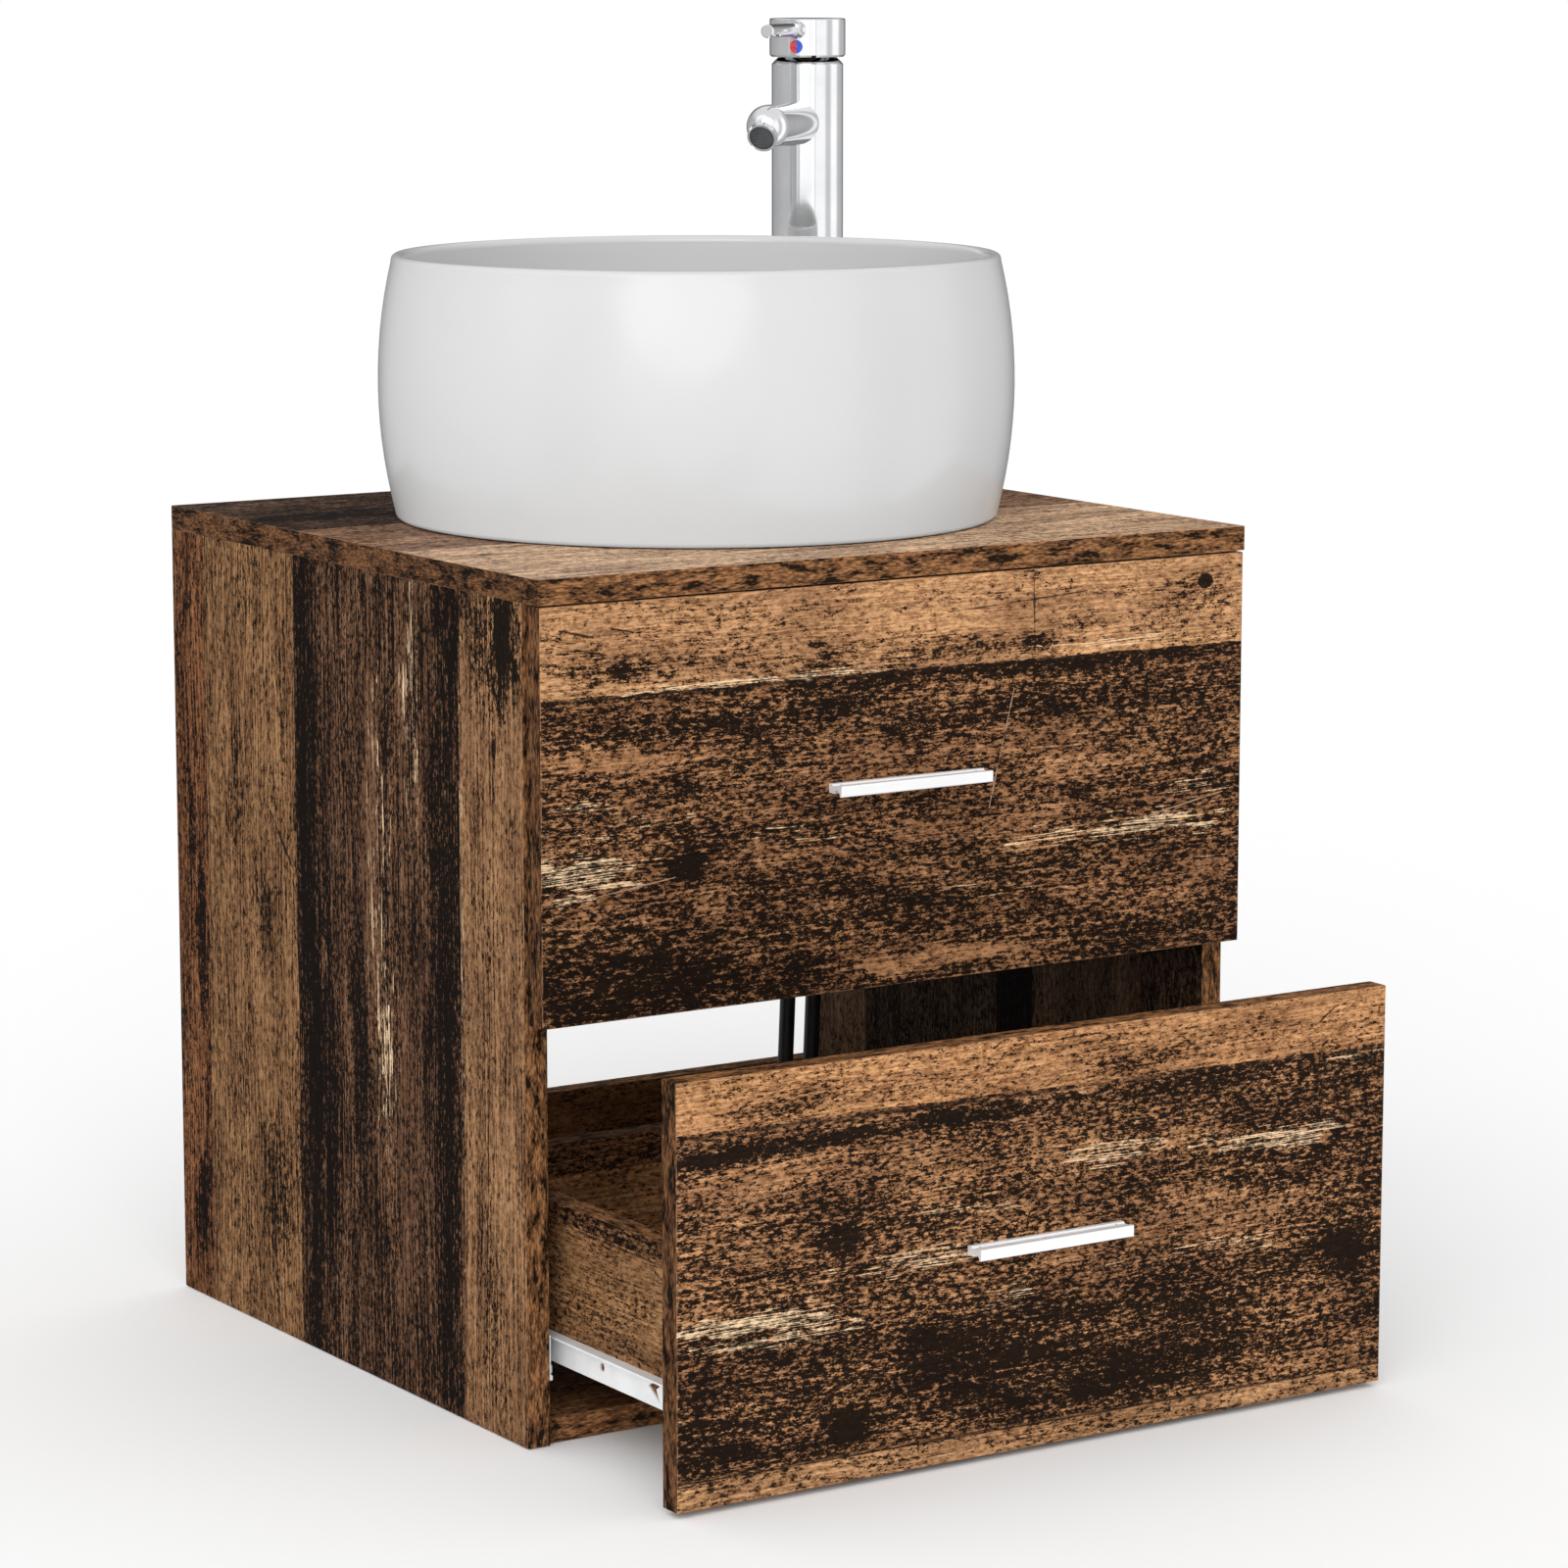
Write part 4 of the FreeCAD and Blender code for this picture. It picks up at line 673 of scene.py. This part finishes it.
finishLooks = {
    "ceramicGlaze": {
        "color": (0.593, 0.593, 0.593), "worn": (0.583, 0.583, 0.583), "rough": (0.14, 0.2),
        "tooth": (0.05, 0.05, 0.05), "bump": 0.06, "relief": 0.0004, "smudge": 0.012,
        "nodes": ["basin"],
    },
    "polishedChrome": {
        "color": (0.8, 0.8, 0.81), "worn": (0.74, 0.75, 0.76), "rough": (0.045, 0.1), "metallic": 1.0,
        "tooth": (0.4, 0.4, 0.4), "bump": 0.02, "smudge": 0.06,
        "nodes": ["tap_body", "lever", "lever_cap", "aerator_housing", "waste_body", "plug"],
    },
    "satinAluminium": {
        "color": (0.93, 0.93, 0.94), "worn": (0.88, 0.88, 0.89), "rough": (0.34, 0.46), "metallic": 0.25,
        "tooth": (0.12, 5.0, 5.0), "bump": 0.22, "smudge": 0.05,
        "nodes": ["lower_handle", "upper_handle"],
    },
    "zincPlate": {
        "color": (0.55, 0.56, 0.58), "worn": (0.42, 0.43, 0.42), "rough": (0.28, 0.46), "metallic": 1.0,
        "tooth": (1.5, 1.5, 1.5), "bump": 0.2, "smudge": 0.12,
        "nodes": ["cabinet_fasteners", "lower_fasteners", "upper_fasteners", "hanging_brackets",
                  "hose_top_ferrules", "hose_hot_end_ferrule", "hose_cold_end_ferrule"],
    },
    "whiteEpoxy": {
        "color": (0.83, 0.84, 0.85), "worn": (0.74, 0.75, 0.76), "rough": (0.34, 0.46),
        "tooth": (3.0, 3.0, 3.0), "bump": 0.25, "smudge": 0.04,
        "nodes": ["lower_cabinet_runners", "upper_cabinet_runners", "lower_drawer_runners",
                  "upper_drawer_runners"],
    },
    "whiteNylon": {
        "color": (0.8, 0.8, 0.77), "worn": (0.66, 0.66, 0.63), "rough": (0.42, 0.58),
        "tooth": (4.0, 4.0, 4.0), "bump": 0.15, "smudge": 0.15,
        "nodes": ["lower_front_rollers", "upper_front_rollers", "lower_rear_rollers", "upper_rear_rollers"],
    },
    "turnedBrass": {
        "color": (0.62, 0.44, 0.18), "worn": (0.44, 0.3, 0.12), "rough": (0.22, 0.4), "metallic": 1.0,
        "tooth": (1.0, 1.0, 6.0), "bump": 0.25, "smudge": 0.1,
        "nodes": ["waste_nut", "lever_carrier", "lever_stem", "tap_clamp_plate", "tap_stud_and_nut",
                  "hose_hot_nut", "hose_cold_nut"],
    },
    "blackRubber": {
        "color": (0.022, 0.022, 0.023), "worn": (0.045, 0.044, 0.043), "rough": (0.5, 0.68),
        "tooth": (3.5, 3.5, 3.5), "bump": 0.35, "smudge": 0.1,
        "nodes": ["waste_washer", "plug_seal", "tap_base_seal", "tap_clamp_seal", "hose_hot", "hose_cold"],
    },
    "whiteSealant": {
        "color": (0.74, 0.74, 0.72), "worn": (0.62, 0.62, 0.59), "rough": (0.38, 0.52),
        "tooth": (0.7, 0.7, 0.7), "bump": 0.3, "smudge": 0.08,
        "nodes": ["basin_seals"],
    },
    "greyMoulding": {
        "color": (0.16, 0.165, 0.175), "worn": (0.1, 0.1, 0.11), "rough": (0.4, 0.55),
        "tooth": (3.0, 3.0, 3.0), "bump": 0.2, "smudge": 0.1,
        "nodes": ["cartridge"],
    },
    "darkMoulding": {
        "color": (0.03, 0.03, 0.032), "worn": (0.055, 0.055, 0.057), "rough": (0.38, 0.55),
        "tooth": (4.0, 4.0, 4.0), "bump": 0.2, "smudge": 0.3,
        "nodes": ["aerator_insert"],
    },
    "beechDowel": {
        "color": (0.52, 0.34, 0.19), "worn": (0.4, 0.25, 0.13), "rough": (0.55, 0.7),
        "tooth": (0.2, 1.6, 1.6), "bump": 0.5, "smudge": 0.12,
        "nodes": ["wood_dowels"],
    },
    "thinFibreboard": {
        "color": (0.24, 0.125, 0.062), "worn": (0.15, 0.076, 0.038), "rough": (0.48, 0.6),
        "tooth": (0.05, 1.2, 1.2), "bump": 0.4, "smudge": 0.035,
        "nodes": ["lower_base", "upper_base"],
    },
}
finishes = {}
for finishName, finishLook in finishLooks.items():
    finishes[finishName] = plainFinish(finishName, finishLook)
    for member in finishLook["nodes"]:
        dress(member, finishes[finishName])


def markEnamel(look):  # one dot, red on one half and blue on the other
    material, tree, shader = newMaterial("redBlueEnamel")
    place, coordinates = millimetres(tree)
    low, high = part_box("temperature_mark")
    centre = (low + high) / 2
    turn = math.radians(look["turn"])
    aside = vectorCalc(tree, "SUBTRACT", coordinates.outputs["Object"], centre)
    side = vectorCalc(tree, "DOT_PRODUCT", aside, (-math.sin(turn), math.cos(turn), 0.0))
    wear = useGroup(tree, surfaceWear, {"Place": place, "Tooth": (3.0, 3.0, 3.0), "Smudge": 0.4}).outputs
    half = calc(tree, "GREATER_THAN", side, 0.0)
    color = mixColor(tree, half, (*look["red"], 1.0), (*look["blue"], 1.0))
    color = mixColor(tree, times(tree, wear["Smudge"], look["dust"]), color, (0.5, 0.5, 0.5, 1.0))
    feed(tree, shader.inputs["Base Color"], color)
    feed(tree, shader.inputs["Roughness"], remap(tree, wear["Smudge"], 0.0, 1.0, 0.18, 0.3, smooth=False))
    return material


leverTurn = 219.5  # the bearing of the spout and the lever, in degrees from +X
temperatureDot = {"turn": leverTurn, "red": (0.72, 0.012, 0.014), "blue": (0.010, 0.075, 0.62), "dust": 0.15}
dress("temperature_mark", markEnamel(temperatureDot))
print("plain finishes done:", len(finishes) + 1)


# Bowl: one wall profile carried round a circle.
bowl = {
    "height": 0.163, "belly": 0.197, "rim": 0.1882, "foot": 0.187, "seat": 0.0006, "drain": 0.0235,
    "pathRadius": 0.1, "turns": 256, "arcSteps": 14,
}


def arcThrough(start, middle, end, steps):
    (ax, ay), (bx, by), (cx, cy) = start, middle, end
    twiceArea = 2 * (ax * (by - cy) + bx * (cy - ay) + cx * (ay - by))
    aSquared, bSquared, cSquared = (x * x + y * y for x, y in (start, middle, end))
    centreX = (aSquared * (by - cy) + bSquared * (cy - ay) + cSquared * (ay - by)) / twiceArea
    centreY = (aSquared * (cx - bx) + bSquared * (ax - cx) + cSquared * (bx - ax)) / twiceArea
    first, mid, last = (math.atan2(y - centreY, x - centreX) for x, y in (start, middle, end))
    radius = math.hypot(ax - centreX, ay - centreY)
    sweep = (last - first) % (2 * math.pi)
    if (mid - first) % (2 * math.pi) > sweep:
        sweep -= 2 * math.pi
    angles = [first + sweep * i / steps for i in range(1, steps + 1)]
    return [(centreX + radius * math.cos(angle), centreY + radius * math.sin(angle)) for angle in angles]


def bowlOutline(size):  # from the foot up the outside, over the rim, down the inside and back under
    foot, rim, tall, seat, drain = (size[name] for name in ("foot", "rim", "height", "seat", "drain"))
    steps = [
        (0.164, seat), (foot - 0.0036, seat), ((foot - 0.001, 0.0017), (foot, 0.0042)),
        ((size["belly"], tall / 2), (rim, tall - 0.0042)),
        ((rim - 0.0038, tall), (rim - 0.0074, tall - 0.0044)),
        ((rim - 0.0034, 0.1), (rim - 0.0082, 0.054)), ((rim - 0.0185, 0.0292), (rim - 0.0432, 0.019)),
        (0.0346, 0.0176), (0.033, 0.0164), (0.033, 0.014), (drain, 0.014), (drain, 0.004), (0.161, 0.004),
    ]
    points = []
    for step in steps:
        if isinstance(step[0], tuple):
            points += arcThrough(points[-1], step[0], step[1], size["arcSteps"])
        else:
            points.append(step)
    return points


def geometryTree(name, inputs):  # its own sizes first, then what every tree needs
    shared = [("Centre", "Vector", None), ("Turn", "Vector", None), ("Finish", "Material", None)]
    return newGroup(
        name, [("Geometry", "Geometry", None)] + inputs + shared, [("Geometry", "Geometry")],
        "GeometryNodeTree",
    )


def finishTree(tree, given, out, geometry):  # every tree ends the same way
    placed = add(tree, "GeometryNodeTransform", {
        "Geometry": geometry, "Translation": given.outputs["Centre"], "Rotation": given.outputs["Turn"],
    }).outputs[0]
    real = add(tree, "GeometryNodeRealizeInstances", {"Geometry": placed}).outputs[0]
    smooth = add(tree, "GeometryNodeSetShadeSmooth", {"Geometry": real}).outputs[0]
    coated = add(tree, "GeometryNodeSetMaterial", {
        "Geometry": smooth, "Material": given.outputs["Finish"],
    }).outputs[0]
    feed(tree, out.inputs["Geometry"], coated)


mergeDistance, creaseAngle = 1e-7, 38.0


def plainMesh(name, holder, tree, values):  # runs the tree and keeps its result as an ordinary mesh
    modifier = holder.modifiers.new(name, "NODES")
    modifier.node_group = tree
    for item in tree.interface.items_tree:
        if item.item_type == "SOCKET" and item.in_out == "INPUT" and item.name in values:
            modifier[item.identifier] = values[item.name]
    holder.update_tag()
    evaluated = holder.evaluated_get(bpy.context.evaluated_depsgraph_get())
    mesh = bpy.data.meshes.new_from_object(evaluated)
    mesh.name = name
    bpy.data.objects.remove(holder)
    shape = bmesh.new()
    shape.from_mesh(mesh)
    bmesh.ops.remove_doubles(shape, verts=shape.verts, dist=mergeDistance)
    bmesh.ops.recalc_face_normals(shape, faces=shape.faces)
    shape.to_mesh(mesh)
    shape.free()
    mesh.set_sharp_from_angle(angle=math.radians(creaseAngle))
    return newObject(name, mesh)


def emptyHolder(name):
    return newObject(name, bpy.data.meshes.new(name))


def bowlTree():
    tree, given, out = geometryTree("roundBowl", [("Path Radius", "Float", 0.1), ("Turns", "Int", 256)])
    circle = add(tree, "GeometryNodeCurvePrimitiveCircle", {
        "Resolution": given.outputs["Turns"], "Radius": given.outputs["Path Radius"],
    }).outputs["Curve"]
    outline = add(tree, "GeometryNodeTransform", {
        "Geometry": given.outputs["Geometry"], "Rotation": (math.pi, 0.0, 0.0),
    }).outputs[0]
    wall = add(tree, "GeometryNodeCurveToMesh", {"Curve": circle, "Profile Curve": outline}).outputs[0]
    finishTree(tree, given, out, wall)
    return tree


outlinePlaces = [(x - bowl["pathRadius"], y, 0.0) for x, y in bowlOutline(bowl)]
outlineCurve, outline = newCurve("bowlOutline", "POLY", outlinePlaces)
outline.use_cyclic_u = True
basinBowl = plainMesh("basinBowl", newObject("bowlOutline", outlineCurve), bowlTree(), {
    "Path Radius": bowl["pathRadius"], "Turns": bowl["turns"], "Centre": (0.0, bowlY, topZ),
    "Turn": (0.0, 0.0, 0.0), "Finish": finishes["ceramicGlaze"],
})
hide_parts("basin")
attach(basinBowl, "cabinet")
print("bowl done:", len(basinBowl.data.polygons), "faces")


# Aerator: a fine wire mesh behind the spout's opening.
aerator = {
    "turn": leverTurn, "tilt": 27.0, "reach": 0.085, "height": 0.234, "depth": 0.01452, "radius": 0.0079,
    "wires": 15, "wireRadius": 0.00016, "wireSides": 5,
}


def wireMeshTree():
    tree, given, out = geometryTree("wireMesh", [
        ("Radius", "Float", 0.008), ("Wires", "Int", 15),
        ("Wire Radius", "Float", 0.0002), ("Wire Sides", "Int", 5),
    ])
    wide = times(tree, given.outputs["Radius"], 2.0)
    grid = add(tree, "GeometryNodeMeshGrid", {
        "Size X": wide, "Size Y": wide,
        "Vertices X": given.outputs["Wires"], "Vertices Y": given.outputs["Wires"],
    }).outputs[0]
    away = vectorCalc(tree, "LENGTH", tree.nodes.new("GeometryNodeInputPosition").outputs[0])
    outside = add(
        tree, "FunctionNodeCompare", {0: away, 1: given.outputs["Radius"]}, operation="GREATER_THAN",
    ).outputs[0]
    disc = add(tree, "GeometryNodeDeleteGeometry", {"Geometry": grid, "Selection": outside}).outputs[0]
    lines = add(tree, "GeometryNodeMeshToCurve", {"Mesh": disc}).outputs[0]
    section = add(tree, "GeometryNodeCurvePrimitiveCircle", {
        "Resolution": given.outputs["Wire Sides"], "Radius": given.outputs["Wire Radius"],
    }).outputs["Curve"]
    wires = add(tree, "GeometryNodeCurveToMesh", {"Curve": lines, "Profile Curve": section}).outputs[0]
    finishTree(tree, given, out, wires)
    return tree


def outletPlace(size):
    turn, tilt = math.radians(size["turn"]), math.radians(size["tilt"])
    flat = size["reach"] + size["depth"] * math.cos(tilt)
    centre = (tapX + flat * math.cos(turn), tapY + flat * math.sin(turn),
              topZ + size["height"] - size["depth"] * math.sin(tilt))
    return centre, (0.0, math.pi / 2 + tilt, turn)


outletCentre, outletTurn = outletPlace(aerator)
aeratorMesh = plainMesh("aeratorMesh", emptyHolder("aeratorHolder"), wireMeshTree(), {
    "Radius": aerator["radius"], "Wires": aerator["wires"], "Wire Radius": aerator["wireRadius"],
    "Wire Sides": aerator["wireSides"], "Centre": outletCentre, "Turn": outletTurn,
    "Finish": finishes["greyMoulding"],
})
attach(aeratorMesh, "cabinet")
print("aerator mesh done")


# Supply hoses: each one a smooth curve from the tap's foot to its valve nut.
hoses = {
    "radius": 0.0053, "length": 0.380, "braid": 3.2, "order": 3, "steps": 12, "roundness": 5,
    "routes": {
        "hot": [(0.1849, 0.166, 0.484), (0.1849, 0.166, 0.414), (0.1826, 0.1685, 0.334),
                (0.1796, 0.171, 0.254), (0.1782, 0.1715, 0.174), (0.174, 0.170, 0.104)],
        "cold": [(0.1981, 0.166, 0.484), (0.1981, 0.166, 0.414), (0.1998, 0.167, 0.334),
                 (0.2006, 0.1705, 0.254), (0.1994, 0.1725, 0.174), (0.1952, 0.171, 0.104)],
    },
}


def braidFinish(look):
    material, tree, shader = newMaterial("blackBraid")
    place, _ = millimetres(tree)
    wear = useGroup(tree, surfaceWear, {"Place": place, "Tooth": (4.0, 4.0, 4.0), "Smudge": 0.08}).outputs
    xyz = split(tree, place)
    aside = calc(tree, "ADD", xyz[0], xyz[1])
    risen, fallen = (
        calc(tree, "SINE", times(tree, calc(tree, slant, xyz[2], aside), look["braid"]))
        for slant in ("ADD", "SUBTRACT")
    )
    weave = times(tree, risen, fallen)
    crest = remap(tree, weave, -1.0, 1.0)
    color = mixColor(tree, crest, (0.010, 0.010, 0.011, 1.0), (0.020, 0.020, 0.021, 1.0))
    color = mixColor(tree, times(tree, wear["Smudge"], 0.3), color, (0.03, 0.03, 0.03, 1.0))
    height = calc(tree, "ADD", weave, wear["Tooth"])
    bump = add(tree, "ShaderNodeBump", {"Height": height, "Strength": 0.3, "Distance": 0.0001})
    feed(tree, shader.inputs["Base Color"], color)
    feed(tree, shader.inputs["Roughness"], remap(tree, wear["Smudge"], 0.0, 1.0, 0.36, 0.5, smooth=False))
    feed(tree, shader.inputs["Normal"], bump.outputs[0])
    return material


hoseFinish = braidFinish(hoses)
for side, route in hoses["routes"].items():
    curve, spline = newCurve(side + "Hose", "NURBS", route)
    spline.order_u = hoses["order"]
    spline.use_endpoint_u = True
    curve.resolution_u = hoses["steps"]
    curve.bevel_depth = hoses["radius"]
    curve.bevel_resolution = hoses["roundness"]
    curve.use_fill_caps = True
    curve.materials.append(hoseFinish)
    hose = newObject(side + "Hose", curve)
    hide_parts("hose_" + side)
    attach(hose, "cabinet")
print("hoses done")


# Crimp rings on the hose sleeves.
crimp = {
    "radius": 0.0063, "wire": 0.00045, "first": 0.003, "gap": 0.0035, "count": 4, "ringSides": 40,
    "wireSides": 6,
}


def crimpTree():
    tree, given, out = geometryTree("crimpRings", [
        ("Radius", "Float", 0.006), ("Wire", "Float", 0.0004),
        ("First", "Float", 0.003), ("Gap", "Float", 0.0035), ("Count", "Int", 4),
        ("Ring Sides", "Int", 40), ("Wire Sides", "Int", 6),
    ])
    start = combine(tree, z=given.outputs["First"])
    step = combine(tree, z=given.outputs["Gap"])
    row = add(tree, "GeometryNodeMeshLine", {
        "Count": given.outputs["Count"], "Start Location": start, "Offset": step,
    }).outputs[0]
    loop, section = (
        add(tree, "GeometryNodeCurvePrimitiveCircle", {
            "Resolution": given.outputs[sides], "Radius": given.outputs[radius],
        }).outputs["Curve"]
        for sides, radius in (("Ring Sides", "Radius"), ("Wire Sides", "Wire"))
    )
    ring = add(tree, "GeometryNodeCurveToMesh", {"Curve": loop, "Profile Curve": section}).outputs[0]
    rings = add(tree, "GeometryNodeInstanceOnPoints", {"Points": row, "Instance": ring}).outputs[0]
    finishTree(tree, given, out, rings)
    return tree


ringTree = crimpTree()
for side, route in hoses["routes"].items():
    downward = (Vector(route[-1]) - Vector(route[-2])).normalized()
    ends = {
        "TopRings": (Vector(route[0]), Vector((0.0, 0.0, 1.0))),
        "EndRings": (Vector(route[-1]), downward),
    }
    for ending, (centre, direction) in ends.items():
        turn = direction.to_track_quat("Z", "Y").to_euler()
        rings = plainMesh(side + ending, emptyHolder(side + ending + "Holder"), ringTree, {
            "Radius": crimp["radius"], "Wire": crimp["wire"], "First": crimp["first"], "Gap": crimp["gap"],
            "Count": crimp["count"], "Ring Sides": crimp["ringSides"], "Wire Sides": crimp["wireSides"],
            "Centre": tuple(centre), "Turn": tuple(turn), "Finish": finishes["zincPlate"],
        })
        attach(rings, "cabinet")
print("crimp rings done")


studio = {
    "floorSize": 60.0, "floorDrop": 0.0006, "floorTone": (1.0, 1.0, 1.0), "skyStrength": 0.80,
    "suns": {  # turn in degrees, strength, and how wide the sun looks
        "keyLight": ((64, 0, -36), 1.0, 50.0),
        "sideLight": ((60, 0, -75), 0.35, 70.0),
        "faceLight": ((84, 0, -34), 0.45, 50.0),
    },
    "mirrored": [  # the sky that polished parts mirror: a share of a full turn, and its tone
        (0.000, 0.22), (0.050, 0.12), (0.075, 0.70), (0.104, 0.50), (0.200, 0.45), (0.240, 1.20),
        (0.315, 1.20), (0.340, 0.72), (0.375, 0.75), (0.395, 1.25), (0.450, 1.25), (0.480, 0.65),
        (0.560, 0.50), (0.610, 0.10), (0.710, 0.10), (0.760, 0.42), (0.930, 0.58),
    ],
}


def paleFloor(look):
    half, drop = look["floorSize"] / 2, look["floorDrop"]
    mesh = bpy.data.meshes.new("studioFloor")
    corners = [(-half, -half, -drop), (half, -half, -drop), (half, half, -drop), (-half, half, -drop)]
    mesh.from_pydata(corners, [], [(0, 1, 2, 3)])
    floor = newObject("studioFloor", mesh)
    material, _, shader = newMaterial("paleFloor")
    shader.inputs["Base Color"].default_value = (*look["floorTone"], 1.0)
    shader.inputs["Roughness"].default_value = 0.9
    shader.inputs["Specular IOR Level"].default_value = 0.1
    mesh.materials.append(material)
    floor.visible_glossy = False


def softSky(look):  # even light on the object, and pale and grey panels for the polished parts to mirror
    world = bpy.data.worlds.new("softSky")
    bpy.context.scene.world = world
    world.use_nodes = True
    tree = world.node_tree
    tree.nodes.clear()
    direction = add(tree, "ShaderNodeTexCoord").outputs["Generated"]
    xyz = split(tree, direction)
    bearing = calc(tree, "ARCTAN2", xyz[1], xyz[0])
    bearing = calc(tree, "MULTIPLY_ADD", bearing, 1 / (2 * math.pi), 0.5)
    panels = add(tree, "ShaderNodeValToRGB", {0: bearing})
    tones = look["mirrored"]
    ramp = panels.color_ramp
    while len(ramp.elements) < len(tones):
        ramp.elements.new(0.5)
    for element, (position, tone) in zip(ramp.elements, tones):
        element.position = position
        element.color = (tone, tone, tone * 1.01, 1.0)
    upward = remap(tree, xyz[2], 0.35, 0.75)
    mirrored = mixColor(tree, upward, panels.outputs[0], (0.9, 0.9, 0.9, 1.0))
    ray = tree.nodes.new("ShaderNodeLightPath").outputs
    shown = mixColor(tree, ray["Is Glossy Ray"], (1.0, 1.0, 1.0, 1.0), mirrored)
    strength = remap(tree, ray["Is Diffuse Ray"], 0.0, 1.0, 1.0, look["skyStrength"], smooth=False)
    sky = add(tree, "ShaderNodeBackground", {"Color": shown, "Strength": strength})
    out = tree.nodes.new("ShaderNodeOutputWorld")
    feed(tree, out.inputs["Surface"], sky.outputs[0])


def softSun(name, turn, strength, spread):
    light = bpy.data.lights.new(name, "SUN")
    light.energy = strength
    light.angle = math.radians(spread)
    newObject(name, light).rotation_euler = Euler([math.radians(angle) for angle in turn])


paleFloor(studio)
softSky(studio)
for sunName, (turn, strength, spread) in studio["suns"].items():
    softSun(sunName, turn, strength, spread)

camera = {
    "spot": (-1.7052, -2.7367, 0.8649), "down": 9.27, "right": 32.87, "lens": 119.57, "sensor": 36.0,
    "farthest": 200.0,
}
lens = bpy.data.cameras.new("studioCamera")
lens.lens = camera["lens"]
lens.sensor_width = camera["sensor"]
lens.clip_end = camera["farthest"]
view = newObject("studioCamera", lens)
view.location = camera["spot"]
view.rotation_euler = (math.radians(90 - camera["down"]), 0.0, -math.radians(camera["right"]))
bpy.context.scene.camera = view
bpy.context.scene.view_settings.view_transform = "Standard"
print("studio done")
